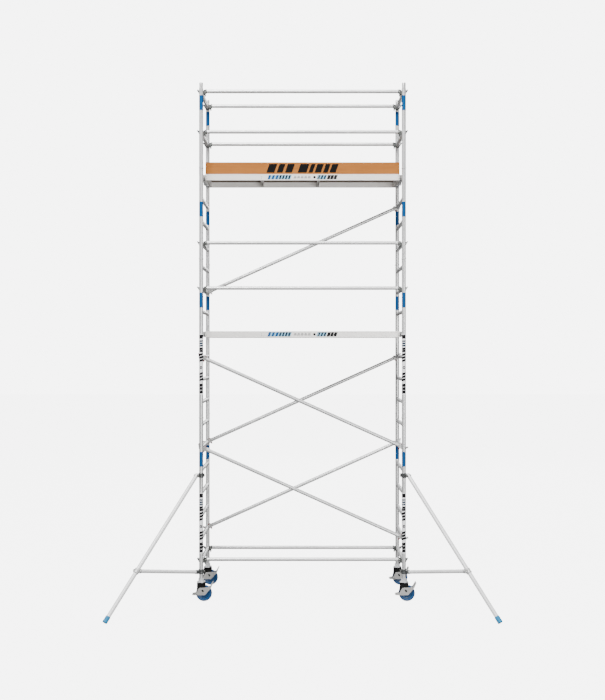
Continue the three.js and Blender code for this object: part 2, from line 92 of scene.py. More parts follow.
ROWS = (("front", -1), ("rear", 1))
TOWER = shift(MIDDLE_X, MIDDLE_Y, 0)
STEEP = math.radians(35)


def rung_height(index):
    return FIRST_RUNG + RUNG_PITCH * index


def claw_height(rail):
    """The height of the rung that a level brace hangs on."""
    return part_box(rail)[0].z + CLAW_BELOW


def storey_span(storey):
    low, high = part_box(f"left_{storey}_frame")
    return low.z, high.z - SPIGOT_LENGTH


def storey_rungs(storey):
    if storey == "guardrail":
        return [claw_height(f"upper_{name}_rail_front") for name in ("knee", "guard")]
    first, count = {"lower": (0, 7), "middle": (7, 7), "upper": (14, 4)}[storey]
    return [rung_height(first + i) for i in range(count)]


# ---- Mesh helpers -------------------------------------------------------------------------------


def linked(name, data):
    """A new object in the scene."""
    obj = bpy.data.objects.new(name, data)
    bpy.context.scene.collection.objects.link(obj)
    return obj


class Shape:
    """Vertices and faces gathered into one piece. grain keeps each vertex's place before it is
    put into the tower, so that a material can follow the length of the tube or extrusion."""

    def __init__(self):
        self.verts, self.faces, self.grain = [], [], []

    def add(self, verts, faces, place, grain=None):
        base = len(self.verts)
        self.grain += [tuple(v) for v in grain or verts]
        self.verts += [place @ Vector(v) for v in verts]
        self.faces += [[i + base for i in face] for face in faces]

    def piece(self, name, body, material, slot, replaces=(), bevel=0.0, segments=2, angle=STEEP):
        mesh = bpy.data.meshes.new(name)
        mesh.from_pydata(self.verts, [], self.faces)
        mesh.update()
        attribute = mesh.attributes.new("grain", "FLOAT_VECTOR", "POINT")
        attribute.data.foreach_set("vector", [c for v in self.grain for c in v])
        mesh.shade_smooth()
        mesh.set_sharp_from_angle(angle=angle)
        obj = linked(name, mesh)
        mesh.materials.append(material)
        if bevel:
            modifier = obj.modifiers.new("edges", "BEVEL")
            modifier.width = bevel
            modifier.segments = segments
            modifier.limit_method = "ANGLE"
            modifier.angle_limit = math.radians(38)
            modifier.harden_normals = True
        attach(obj, body)
        if replaces:
            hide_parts(*replaces)
        return obj


def add_rings(shape, verts, sides, place, closed=False):
    """Skins rings of points, each of so many sides. A closed run of rings meets its own start, and
    an open one has a cap at each end."""
    count = len(verts) // sides
    faces = []
    for row in range(count if closed else count - 1):
        here, there = row * sides, (row + 1) % count * sides
        for i in range(sides):
            j = (i + 1) % sides
            faces.append((here + i, here + j, there + j, there + i))
    if not closed:
        faces.append(tuple(reversed(range(sides))))
        faces.append(tuple(range((count - 1) * sides, count * sides)))
    shape.add(verts, faces, place)


def circle(radius, sides, height=0.0):
    turns = [2 * math.pi * i / sides for i in range(sides)]
    return [(radius * math.cos(t), radius * math.sin(t), height) for t in turns]


def lathe(shape, profile, sides, place, closed=False):
    """Turns [radius, height] points about the local Z axis. A closed profile makes a ring."""
    verts = [point for r, z in profile for point in circle(r, sides, z)]
    add_rings(shape, verts, sides, place, closed)


def both_sides(profile):
    """A section that runs along the profile below the middle plane and back above it."""
    return [(r, -z) for r, z in profile] + profile[::-1]


def along(start, end):
    """A placement whose local Z runs from start to end."""
    start, end = Vector(start), Vector(end)
    turn = (end - start).to_track_quat("Z", "Y")
    return Matrix.Translation(start) @ turn.to_matrix().to_4x4()


def rod(shape, start, end, radius, place, sides=24, chamfer=0.0008):
    length = (Vector(end) - Vector(start)).length
    profile = [
        (radius - chamfer, 0),
        (radius, chamfer),
        (radius, length - chamfer),
        (radius - chamfer, length),
    ]
    lathe(shape, profile, sides, place @ along(start, end))


def pipe(shape, start, end, radius, bore, place, sides=40, chamfer=0.0006):
    length = (Vector(end) - Vector(start)).length
    profile = [
        (bore, 0),
        (radius - chamfer, 0),
        (radius, chamfer),
        (radius, length - chamfer),
        (radius - chamfer, length),
        (bore, length),
    ]
    lathe(shape, profile, sides, place @ along(start, end), closed=True)


def ring_normals(points, closed):
    """Two directions across the path at each point, carried along it without twisting."""
    frames = []
    count = len(points)
    side = None
    for i, point in enumerate(points):
        ahead = points[(i + 1) % count] if closed or i + 1 < count else point
        behind = points[i - 1] if closed or i else point
        tangent = (ahead - behind).normalized()
        if side is None:
            side = tangent.orthogonal().normalized()
        side = (side - tangent * side.dot(tangent)).normalized()
        frames.append((side, tangent.cross(side)))
    return frames


def sweep(shape, points, radius, place, sides=8, closed=False, ripple=0.0):
    """A round bar along a path, its radius uneven by ripple."""
    points = [Vector(p) for p in points]
    verts = []
    for point, (side, across) in zip(points, ring_normals(points, closed)):
        for x, y, _ in circle(radius + ripple * rng.uniform(-1, 1), sides):
            verts.append(point + side * x + across * y)
    add_rings(shape, verts, sides, place, closed)


def slab(shape, loops, near, far, place, lengthways=False):
    """Outlines in the XZ plane, the first outside and the others holes, thick from near to far in Y."""
    flat = [[Vector((x, z, 0)) for x, z in loop] for loop in loops]
    triangles = tessellate_polygon(flat)
    points = [p for loop in flat for p in loop]
    count = len(points)
    verts = [(p.x, near, p.y) for p in points] + [(p.x, far, p.y) for p in points]
    faces = []
    for a, b, c in triangles:
        ab, ac = points[b] - points[a], points[c] - points[a]
        if ab.x * ac.y - ab.y * ac.x < 0:
            b, c = c, b
        faces.append((a, b, c))
        faces.append((a + count, c + count, b + count))
    base = 0
    for number, loop in enumerate(flat):
        size = len(loop)
        area = sum(loop[i - 1].x * loop[i].y - loop[i].x * loop[i - 1].y for i in range(size))
        outward = (area > 0) == (number == 0)
        for i in range(size):
            a, b = base + i, base + (i + 1) % size
            if not outward:
                a, b = b, a
            faces.append((b, a, a + count, b + count))
        base += size
    shape.add(verts, faces, place, [(x, z, y) for x, y, z in verts] if lengthways else None)


def arc(x, z, radius, start, end, steps):
    """Points on a circle from one angle to another, in degrees."""
    turns = [math.radians(start + (end - start) * i / steps) for i in range(steps + 1)]
    return [(x + radius * math.cos(t), z + radius * math.sin(t)) for t in turns]


def box_outline(x0, z0, x1, z1):
    return [(x0, z0), (x1, z0), (x1, z1), (x0, z1)]


def block(shape, low, high, place):
    slab(shape, [box_outline(low[0], low[2], high[0], high[2])], low[1], high[1], place)


def plate(shape, outline, half, place):
    """A slab with its middle in the XZ plane."""
    slab(shape, [outline], -half, half, place)


def cheeks(shape, loops, inner, outer, place):
    """Two like slabs, one on each side of the XZ plane."""
    slab(shape, loops, -outer, -inner, place)
    slab(shape, loops, inner, outer, place)


def dome(shape, at, direction, radius, height, place, sides=14):
    """A rivet or button head."""
    steps = 4
    profile = [(radius, -0.001)]
    for i in range(steps + 1):
        turn = math.pi / 2 * i / steps
        profile.append((max(radius * math.cos(turn), 0.0001), height * math.sin(turn)))
    lathe(shape, profile, sides, place @ along(at, Vector(at) + Vector(direction)))


def hex_head(shape, at, direction, radius, height, place):
    profile = [(radius, 0), (radius, height * 0.8), (radius * 0.86, height)]
    lathe(shape, profile, 6, place @ along(at, Vector(at) + Vector(direction)))


# ---- Materials ----------------------------------------------------------------------------------


class Nodes:
    """A short way to lay out a shader."""

    def __init__(self, name, metallic=0.0, specular=0.5):
        self.material = bpy.data.materials.new(name)
        self.material.use_nodes = True
        self.tree = self.material.node_tree
        self.shader = self.tree.nodes["Principled BSDF"]
        self.shader.inputs["Metallic"].default_value = metallic
        self.shader.inputs["Specular IOR Level"].default_value = specular

    def new(self, kind, **values):
        node = self.tree.nodes.new(kind)
        for name, value in values.items():
            setattr(node, name, value)
        return node

    def link(self, output, target):
        self.tree.links.new(output, target)

    def grain(self, scale):
        """Coordinates that follow the piece's own length along Z, scaled by (x, y, z)."""
        attribute = self.new("ShaderNodeAttribute", attribute_name="grain")
        return self.scaled(attribute.outputs["Vector"], scale)

    def place(self, scale=(1, 1, 1)):
        return self.scaled(self.new("ShaderNodeTexCoord").outputs["Object"], scale)

    def scaled(self, vector, scale):
        mapping = self.new("ShaderNodeMapping")
        mapping.inputs["Scale"].default_value = scale
        self.link(vector, mapping.inputs["Vector"])
        return mapping.outputs["Vector"]

    def noise(self, vector, scale, detail, rough):
        node = self.new("ShaderNodeTexNoise")
        node.inputs["Scale"].default_value = scale
        node.inputs["Detail"].default_value = detail
        node.inputs["Roughness"].default_value = rough
        self.link(vector, node.inputs["Vector"])
        return node.outputs["Fac"]

    def cloud(self, scale, detail, rough):
        """Noise that is alike in all directions."""
        return self.noise(self.place(), scale, detail, rough)

    def spread(self, value, low, high, out_low, out_high):
        node = self.new("ShaderNodeMapRange")
        names = ("From Min", "From Max", "To Min", "To Max")
        for name, number in zip(names, (low, high, out_low, out_high)):
            node.inputs[name].default_value = number
        self.link(value, node.inputs["Value"])
        return node.outputs["Result"]

    def mix(self, factor, first, second):
        node = self.new("ShaderNodeMix", data_type="RGBA")
        self.link(factor, node.inputs["Factor"])
        for socket, colour in ((node.inputs["A"], first), (node.inputs["B"], second)):
            self.set_colour(socket, colour)
        return node.outputs["Result"]

    def set_colour(self, socket, colour):
        if isinstance(colour, tuple):
            socket.default_value = (*colour, 1)
        else:
            self.link(colour, socket)

    def maths(self, operation, first, second):
        node = self.new("ShaderNodeMath", operation=operation)
        for socket, value in zip(node.inputs, (first, second)):
            if isinstance(value, (int, float)):
                socket.default_value = value
            else:
                self.link(value, socket)
        return node.outputs["Value"]

    def bump(self, height, strength, distance):
        node = self.new("ShaderNodeBump")
        node.inputs["Strength"].default_value = strength
        node.inputs["Distance"].default_value = distance
        self.link(height, node.inputs["Height"])
        self.link(node.outputs["Normal"], self.shader.inputs["Normal"])

    def finish(self, colour, roughness):
        self.set_colour(self.shader.inputs["Base Color"], colour)
        if isinstance(roughness, float):
            self.shader.inputs["Roughness"].default_value = roughness
        else:
            self.link(roughness, self.shader.inputs["Roughness"])
        return self.material


def shade(colour, factor):
    return tuple(min(1.0, c * factor) for c in colour)


def drawn_metal(name, colour, rough_low, rough_high, metallic):
    """Drawn or extruded metal: fine lines along the length, soft handling marks and dull patches."""
    n = Nodes(name, metallic)
    lines = n.noise(n.grain((900, 900, 2.5)), 1.0, 3.0, 0.6)
    patches = n.cloud(3.0, 4.0, 0.55)
    scuffs = n.noise(n.grain((60, 60, 14)), 1.0, 6.0, 0.7)
    worn = n.spread(scuffs, 0.60, 0.74, 0.0, 1.0)
    streaked = n.mix(n.spread(lines, 0.3, 0.7, 0, 1), shade(colour, 0.95), shade(colour, 1.03))
    toned = n.mix(n.spread(patches, 0.35, 0.7, 0.0, 0.4), streaked, shade(colour, 0.88))
    base = n.mix(n.maths("MULTIPLY", worn, 0.25), toned, shade(colour, 0.74))
    sheen = n.maths("ADD", n.maths("MULTIPLY", lines, 0.4), patches)
    rough = n.spread(sheen, 0.45, 0.95, rough_low, rough_high)
    n.bump(n.maths("ADD", lines, n.maths("MULTIPLY", scuffs, 0.5)), 0.1, 0.0003)
    return n.finish(base, rough)


def cast_metal(name, colour, metallic=0.75, rough=(0.42, 0.62)):
    """Cast or galvanised metal: small mottled grains and a slightly uneven skin."""
    n = Nodes(name, metallic)
    grains = n.cloud(260.0, 3.0, 0.6)
    cells = n.new("ShaderNodeTexVoronoi")
    cells.inputs["Scale"].default_value = 120.0
    n.link(n.place(), cells.inputs["Vector"])
    cell = n.spread(cells.outputs["Distance"], 0.0, 0.7, 0.0, 1.0)
    stains = n.cloud(18.0, 5.0, 0.65)
    mottled = n.mix(cell, shade(colour, 1.1), shade(colour, 0.84))
    base = n.mix(n.spread(stains, 0.45, 0.75, 0.0, 0.7), mottled, shade(colour, 0.62))
    n.bump(grains, 0.15, 0.0004)
    return n.finish(base, n.spread(stains, 0.3, 0.7, *rough))


def painted(name, colour, wear, rough=(0.4, 0.6), specular=0.4):
    """Powder coat or moulded plastic: orange peel, dust, and chips that show the wear colour."""
    n = Nodes(name, 0.0, specular)
    peel = n.cloud(320.0, 2.0, 0.5)
    dust = n.cloud(14.0, 6.0, 0.65)
    chips = n.cloud(95.0, 5.0, 0.75)
    dusty = n.mix(n.spread(dust, 0.45, 0.8, 0.0, 0.3), colour, tuple(0.85 * c + 0.02 for c in colour))
    base = n.mix(n.spread(chips, 0.68, 0.74, 0.0, 0.7), dusty, wear)
    n.bump(peel, 0.2, 0.0003)
    return n.finish(base, n.spread(dust, 0.3, 0.75, *rough))


def plywood_face(name, colour, dark, mesh_print):
    """Coated plywood: long grain under a film, with the wire print of an anti-slip face."""
    n = Nodes(name, 0.0, 0.1)
    long = n.noise(n.place((3, 60, 60)), 1.0, 8.0, 0.65)
    fine = n.noise(n.place((14, 420, 420)), 1.0, 4.0, 0.6)
    cloud = n.cloud(4.0, 5.0, 0.6)
    grained = n.mix(n.spread(long, 0.35, 0.7, 0, 1), colour, dark)
    fibres = n.mix(n.spread(fine, 0.45, 0.75, 0.0, 0.5), grained, shade(dark, 0.8))
    base = n.mix(n.spread(cloud, 0.5, 0.8, 0.0, 0.4), fibres, shade(colour, 1.25))
    height = fine
    if mesh_print:
        cross = n.new("ShaderNodeTexWave", wave_type="BANDS", bands_direction="X")
        long_wire = n.new("ShaderNodeTexWave", wave_type="BANDS", bands_direction="Y")
        for wave in (cross, long_wire):
            wave.inputs["Scale"].default_value = 50.0
            n.link(n.place(), wave.inputs["Vector"])
        height = n.maths("MULTIPLY", cross.outputs["Fac"], long_wire.outputs["Fac"])
        base = n.mix(n.spread(height, 0.3, 0.9, 0.0, 0.35), base, shade(dark, 0.7))
    n.bump(height, 0.35, 0.0008 if mesh_print else 0.0003)
    return n.finish(base, n.spread(cloud, 0.3, 0.7, 0.58, 0.76))


def plywood_edge(name, pale, dark, thickness):
    """The cut edge of plywood: thin layers, darker where the grain is cut across."""
    n = Nodes(name)
    attribute = n.new("ShaderNodeAttribute", attribute_name="grain")
    split = n.new("ShaderNodeSeparateXYZ")
    n.link(attribute.outputs["Vector"], split.inputs["Vector"])
    layers = n.maths("PINGPONG", n.maths("MULTIPLY", split.outputs["Z"], 9 / thickness), 1.0)
    fibres = n.noise(n.grain((90, 90, 900)), 1.0, 5.0, 0.7)
    tone = n.maths("ADD", layers, n.maths("MULTIPLY", fibres, 0.35))
    base = n.mix(n.spread(tone, 0.45, 0.9, 0, 1), pale, dark)
    n.bump(fibres, 0.4, 0.0004)
    return n.finish(base, 0.7)


def printed_film(name, colour, faded, rough=0.32):
    """Printed vinyl: a flat colour with faint mottling, fading and tiny scratches."""
    n = Nodes(name, 0.0, 0.12)
    mottling = n.cloud(30.0, 5.0, 0.6)
    scratches = n.noise(n.place((500, 500, 25)), 1.0, 4.0, 0.7)
    worn = n.mix(n.spread(mottling, 0.45, 0.8, 0.0, 0.4), colour, faded)
    base = n.mix(n.spread(scratches, 0.66, 0.74, 0.0, 0.5), worn, faded)
    n.bump(scratches, 0.1, 0.0002)
    return n.finish(base, n.spread(mottling, 0.3, 0.7, rough, rough + 0.15))


def tread_rubber(name, colour):
    n = Nodes(name)
    pores = n.cloud(420.0, 3.0, 0.6)
    dirt = n.cloud(24.0, 6.0, 0.7)
    base = n.mix(n.spread(dirt, 0.45, 0.75, 0.0, 0.55), colour, tuple(0.75 * c + 0.02 for c in colour))
    n.bump(pores, 0.3, 0.0004)
    return n.finish(base, n.spread(dirt, 0.3, 0.7, 0.5, 0.72))


TUBE = drawn_metal("drawn_aluminium", (0.70, 0.70, 0.696), 0.33, 0.46, 0.70)
RUNG = drawn_metal("ribbed_aluminium", (0.62, 0.62, 0.62), 0.40, 0.52, 0.4)
STAY = drawn_metal("stabiliser_aluminium", (0.93, 0.93, 0.925), 0.36, 0.48, 0.15)
BRACE = drawn_metal("brace_aluminium", (0.70, 0.70, 0.696), 0.34, 0.46, 0.6)
BEAM = drawn_metal("extruded_aluminium", (0.93, 0.905, 0.87), 0.38, 0.50, 0.2)
WELD = cast_metal("weld_bead", (0.62, 0.62, 0.61), 0.8, (0.34, 0.5))
CASTING = cast_metal("grey_casting", (0.10, 0.105, 0.10), 0.6, (0.42, 0.58))
HOOK = cast_metal("hook_casting", (0.50, 0.50, 0.49), 0.6, (0.38, 0.54))
GALVANISED = cast_metal("galvanised_steel", (0.12, 0.124, 0.124), 0.7, (0.4, 0.55))
COUPLER = cast_metal("coupler_aluminium", (0.72, 0.72, 0.71), 0.4, (0.38, 0.52))
BRIGHT_ZINC = cast_metal("zinc_plated_steel", (0.46, 0.46, 0.44), 0.8, (0.3, 0.45))
PEDAL_STEEL = cast_metal("pressed_pedal_steel", (0.50, 0.495, 0.48), 0.45, (0.34, 0.5))
COLLAR = painted("grey_collar", (0.60, 0.61, 0.62), (0.36, 0.36, 0.36), (0.35, 0.5))
TRIGGER_GREY = painted("trigger_grey", (0.045, 0.05, 0.048), (0.2, 0.2, 0.19))
TRIGGER_RED = painted("trigger_dark_red", (0.16, 0.008, 0.012), (0.25, 0.14, 0.14))
BLACK_PAINT = painted("black_powder_coat", (0.003, 0.003, 0.0033), (0.03, 0.03, 0.03), (0.36, 0.5), 0.14)
# Near black, for painted shade: a sheet that stands for the shaded depth of the hatch's finger hole.
PAINTED_SHADE_BLACK = painted("painted_shade_finger_hole", (0.003, 0.003, 0.003), (0.01, 0.01, 0.01), (0.6, 0.7), 0.1)
BLUE_TREAD = tread_rubber("blue_tread", (0.0035, 0.048, 0.150))
BLUE_CENTRE = painted("blue_wheel_centre", (0.006, 0.066, 0.195), (0.1, 0.22, 0.4), (0.28, 0.42))
FOOT_CYAN = tread_rubber("cyan_foot", (0.0005, 0.20, 0.41))
DECK_FACE = plywood_face("deck_film", (0.060, 0.034, 0.020), (0.032, 0.018, 0.011), True)
DECK_BACK = plywood_face("deck_underside", (0.19, 0.135, 0.115), (0.14, 0.10, 0.085), False)
DECK_EDGE = plywood_edge("deck_ply_edge", (0.40, 0.24, 0.11), (0.14, 0.07, 0.03), 0.012)
TOE_FACE = plywood_face("toe_board_film", (0.38, 0.140, 0.030), (0.335, 0.118, 0.024), False)
TOE_EDGE = plywood_edge("toe_board_ply_edge", (0.46, 0.25, 0.11), (0.20, 0.09, 0.035), 0.020)
TOE_PRINT = printed_film("dark_print", (0.0015, 0.001, 0.001), (0.008, 0.005, 0.004), 0.6)
LABEL_BLUE = printed_film("blue_label", (0.004, 0.058, 0.19), (0.010, 0.085, 0.24))
LABEL_MARK = printed_film("label_mark", (0.008, 0.090, 0.25), (0.014, 0.11, 0.27))
WHITE_FILM = printed_film("white_film", (0.95, 0.95, 0.96), (0.88, 0.88, 0.88))
DECAL_BLACK = printed_film("black_stripe", (0.004, 0.004, 0.005), (0.03, 0.03, 0.03), 0.45)
DECAL_TEAL = printed_film("teal_stripe", (0.002, 0.020, 0.042), (0.008, 0.035, 0.06))
PALE_BLUE = printed_film("pale_blue_film", (0.28, 0.55, 0.74), (0.34, 0.58, 0.75))
DECAL_GREY = printed_film("grey_lines", (0.14, 0.14, 0.15), (0.22, 0.22, 0.22))

# ---- End frames ---------------------------------------------------------------------------------


def upright_profile(bottom, top):
    tip = top + SPIGOT_LENGTH
    edge = 0.0009
    return [
        (BORE_R, bottom),
        (UPRIGHT_R - edge, bottom),
        (UPRIGHT_R, bottom + edge),
        (UPRIGHT_R, top - edge),
        (UPRIGHT_R - edge, top),
        (SPIGOT_R, top),
        (SPIGOT_R, tip - 0.004),
        (SPIGOT_R - 0.0012, tip),
        (SPIGOT_BORE_R, tip),
        (SPIGOT_BORE_R, top - 0.06),
        (BORE_R, top - 0.06),
    ]


def ribbed_rung(shape, height, place):
    """A rung with shallow ribs whose ends follow the round of the uprights."""
    ribs, steps = 18, 4
    wall = UPRIGHT_R - 0.001
    verts = []
    sides = ribs * steps
    for end in (-1, 1):
        for i in range(sides):
            radius = RUNG_R - (0.0006 if i % steps in (2, 3) else 0.0)
            turn = 2 * math.pi * i / sides
            x, z = radius * math.cos(turn), radius * math.sin(turn)
            y = end * (HALF_WIDTH - math.sqrt(wall * wall - x * x))
            verts.append((x, z, y))
    faces = [(i, (i + 1) % sides, sides + (i + 1) % sides, sides + i) for i in range(sides)]
    lay = Matrix(((1, 0, 0, 0), (0, 0, 1, 0), (0, -1, 0, 0), (0, 0, 0, 1)))
    shape.add([(x, -z, y) for x, z, y in verts], faces, place @ shift(0, 0, height) @ lay)


def weld_bead(shape, height, row, place):
    """A rippled bead where a rung meets an upright."""
    steps = 56
    points = []
    for i in range(steps):
        turn = 2 * math.pi * i / steps
        x = (RUNG_R + 0.0004) * math.cos(turn)
        reach = math.sqrt(max((UPRIGHT_R + 0.0004) ** 2 - x * x, 0.0))
        y = row * (HALF_WIDTH - reach)
        points.append((x, y, height + (RUNG_R + 0.0004) * math.sin(turn)))
    sweep(shape, points, 0.0024, place, sides=6, closed=True, ripple=0.0005)


def end_frame(side, sign, storey):
    place = TOWER @ shift(sign * HALF_BAY, 0, 0)
    bottom, top = storey_span(storey)
    node = f"{side}_{storey}_frame"
    uprights, rungs, welds, rivets = Shape(), Shape(), Shape(), Shape()
    for _, row in ROWS:
        at = place @ shift(0, row * HALF_WIDTH, 0)
        lathe(uprights, upright_profile(bottom, top), 48, at, closed=True)
        for height in (top - 0.018, top - 0.045):
            for way in (-1, 1):
                dome(rivets, (way * UPRIGHT_R, 0, height), (way, 0, 0), 0.0042, 0.0018, at)
    for height in storey_rungs(storey):
        ribbed_rung(rungs, height, place)
        for _, row in ROWS:
            weld_bead(welds, height, row, place)
    uprights.piece(f"{node}_uprights", "tower", TUBE, "tube", replaces=[node])
    rungs.piece(f"{node}_rungs", "tower", RUNG, "tube", angle=math.radians(60))
    welds.piece(f"{node}_welds", "tower", WELD, "tube")
    rivets.piece(f"{node}_rivets", "tower", BRIGHT_ZINC, "tube")


def interlock_clip(shape, place):
    """A sprung wire clip round the joint of two uprights, its pin through the tube."""
    gap = UPRIGHT_R + 0.0022
    loop = gap + 0.003
    pin = [(-gap - 0.006, 0, 0), (gap + 0.006, 0, 0)]
    sweep(shape, pin, 0.0028, place, sides=10)
    wire = [(x, y, -0.012 * y / loop) for x, y in arc(0, 0, loop, -20, 200, 14)]
    sweep(shape, wire, 0.0019, place, sides=8)


def interlock_clips():
    for storey in STOREYS[1:]:
        height = storey_span(storey)[0] + 0.022
        clips = Shape()
        for _, sign in SIDES:
            for _, row in ROWS:
                at = (sign * HALF_BAY, row * HALF_WIDTH, height)
                turn = spin(math.radians(35 * row * sign + (0 if row > 0 else 180)), "Z")
                interlock_clip(clips, TOWER @ Matrix.Translation(at) @ turn)
        clips.piece(f"{storey}_interlock_clips", "tower", BRIGHT_ZINC, "steel")


# ---- Braces -------------------------------------------------------------------------------------

CLAW_HALF = 0.023
MOUTH_R = 0.0250
NECK = 0.060


def claw_outline(lift):
    neck = [(NECK, lift - 0.0235), (NECK, lift + 0.0235), (NECK - 0.004, lift + 0.0245)]
    back = [(0.050, 0.9 * lift + 0.0245), (0.0455, 0.0265)]
    tip = [(-0.040, 0.0262), (-0.046, 0.030), (-0.052, 0.0285), (-0.054, 0.024)]
    belly = arc(0, 0, 0.0355, 200, 300, 9) + [(0.036, -0.0262), (0.054, 0.7 * lift - 0.0240)]
    return neck + back + arc(0, 0, MOUTH_R, 40, -220, 22) + tip + belly


def claw(castings, triggers, rivets, place, lift):
    """A cast claw that cups the rung, its neck towards +X, with raised webs and a sprung trigger."""
    plate(castings, claw_outline(lift), CLAW_HALF, place)
    web = arc(0, 0, 0.0335, 205, 300, 8) + arc(0, 0, 0.0290, 300, 205, 8)
    cheeks(castings, [web], CLAW_HALF, CLAW_HALF + 0.0022, place)
    for way in (-1, 1):
        dome(rivets, (0.050, way * CLAW_HALF, 0.8 * lift), (0, way, 0), 0.0052, 0.0024, place)
    inside = BRACE_R + 0.0002
    collar = [(inside, 0.0), (0.0248, 0.0), (0.0248, 0.005), (0.0240, 0.008), (inside, 0.009)]
    lathe(castings, collar, 36, place @ along((NECK - 0.003, 0, lift), (1, 0, lift)), closed=True)
    latch = [(0.052, 0.012), (0.058, 0.026), (0.048, 0.033)]
    latch += [(0.034, 0.0315), (0.0235, 0.030), (0.030, 0.021)]
    plate(triggers, latch, 0.011, place)
    finger = [(0.030, -0.0262), (0.050, -0.0245), (0.056, -0.031)]
    finger += [(0.050, -0.047), (0.041, -0.050), (0.039, -0.036)]
    plate(triggers, finger, 0.013, place)
    cap = [(-0.0405, 0.0255), (-0.0455, 0.0315), (-0.0535, 0.0300)]
    cap += [(-0.0550, 0.0215), (-0.0490, 0.0130), (-0.0420, 0.0150)]
    plate(triggers, cap, 0.0245, place)


def brace(node, trigger):
    low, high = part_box(node)
    middle = (low + high) / 2
    tilted = "diagonal" in node
    drop = 4 * RUNG_PITCH if tilted else 0.0
    lift = 0.0 if tilted else RAIL_LIFT
    level = claw_height(node)
    if tilted:
        level = FIRST_RUNG + RUNG_PITCH * round((middle.z - FIRST_RUNG) / RUNG_PITCH)
    way = -1 if "rear" in node else 1
    angle = math.atan2(way * drop, 2 * HALF_BAY)
    length = math.hypot(2 * HALF_BAY, drop)
    centre_line = shift(MIDDLE_X, middle.y, level) @ spin(angle, "Y")
    tube, castings, triggers, rivets = Shape(), Shape(), Shape(), Shape()
    reach = length / 2 - NECK + 0.006
    pipe(tube, (-reach, 0, lift), (reach, 0, lift), BRACE_R, BRACE_R - 0.0018, centre_line)
    for end in (-1, 1):
        at = centre_line @ shift(end * length / 2, 0, 0) @ turned_in(end)
        claw(castings, triggers, rivets, at, lift)
    tube.piece(f"{node}_tube", "tower", BRACE, "tube", replaces=[node])
    castings.piece(f"{node}_claws", "tower", HOOK if tilted else CASTING, "tube", bevel=0.0018)
    triggers.piece(f"{node}_triggers", "tower", trigger, "tube", bevel=0.0014)
    rivets.piece(f"{node}_rivets", "tower", BRIGHT_ZINC, "tube")


def braces():
    for node in sorted(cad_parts):
        if "_rail_" in node:
            brace(node, TRIGGER_GREY)
        elif "_diagonal_" in node:
            brace(node, TRIGGER_RED)


# ---- Platforms ----------------------------------------------------------------------------------

DECK_X = 1.212
DECK_Y = 0.300
BEAM_TOP = 0.040
BEAM_LOW = -0.038
PLY = 0.012
CROSS_X = (-0.512, 0.202)
END_X = 1.197
CROSS_REACH = 0.2968
BOARD_X, BOARD_Y = 1.1814, 0.2794
HATCH_Y = 0.243
HINGE_Y = 0.244
OPENING_Y = 0.245
HOOK_HALF = 0.016
FACING_FRONT = spin(-math.pi / 2, "Z")
FACING_REAR = spin(math.pi / 2, "Z")
FLAT = spin(-math.pi / 2, "X")


def side_beam_section():
    """The outer face has two shallow grooves; a ledge inside carries the plywood."""
    y = DECK_Y
    groove = 0.0014
    section = [(y - 0.0015, BEAM_LOW), (y, BEAM_LOW + 0.0015)]
    for z in (-0.024, 0.022):
        section += [(y, z - 0.002), (y - groove, z - 0.0008), (y - groove, z + 0.0022), (y, z + 0.0034)]
    section += [(y, BEAM_TOP - 0.0015), (y - 0.0015, BEAM_TOP), (y - 0.020, BEAM_TOP)]
    section += [(y - 0.020, BEAM_TOP - 0.003), (y - 0.003, BEAM_TOP - 0.003), (y - 0.003, 0.0276)]
    section += [(y - 0.038, 0.0276), (y - 0.038, 0.0246), (y - 0.003, 0.0246), (y - 0.003, -0.031)]
    section += [(y - 0.006, -0.0345), (y - 0.020, -0.035), (y - 0.020, BEAM_LOW)]
    return section


def channel_section(x, low, high):
    """A channel open downwards, its lips turned in."""
    half, wall, lip, corner = 0.015, 0.0026, 0.006, 0.002
    right = [(half - corner, high), (half, high - corner), (half, low), (half - lip, low)]
    right += [(half - lip, low + wall), (half - wall, low + wall), (half - wall, high - wall)]
    return [(x + dx, z) for dx, z in right] + [(x - dx, z) for dx, z in reversed(right)]


def platform_hook(castings, clips, rivets, place):
    """A cast hook over the rung with its neck towards +X, and the wind lock below."""
    outline = [(0.044, -0.012), (0.044, 0.034), (0.030, 0.0355), (0.0, 0.0355)]
    outline += arc(0, 0, 0.0355, 97, 212, 14)
    outline += arc(0, 0, 0.0252, 215, -20, 24)
    plate(castings, outline, HOOK_HALF, place)
    rib = arc(0, 0, 0.0330, 60, 205, 12) + arc(0, 0, 0.0290, 205, 60, 12)
    cheeks(castings, [rib], HOOK_HALF, HOOK_HALF + 0.0018, place)
    for way in (-1, 1):
        dome(rivets, (0.036, way * HOOK_HALF, 0.012), (0, way, 0), 0.0045, 0.002, place)
    lock = [(0.030, -0.012), (0.037, -0.010), (0.037, -0.034)]
    lock += [(-0.006, -0.034), (-0.012, -0.0275), (0.020, -0.0275)]
    plate(clips, lock, 0.004, place)


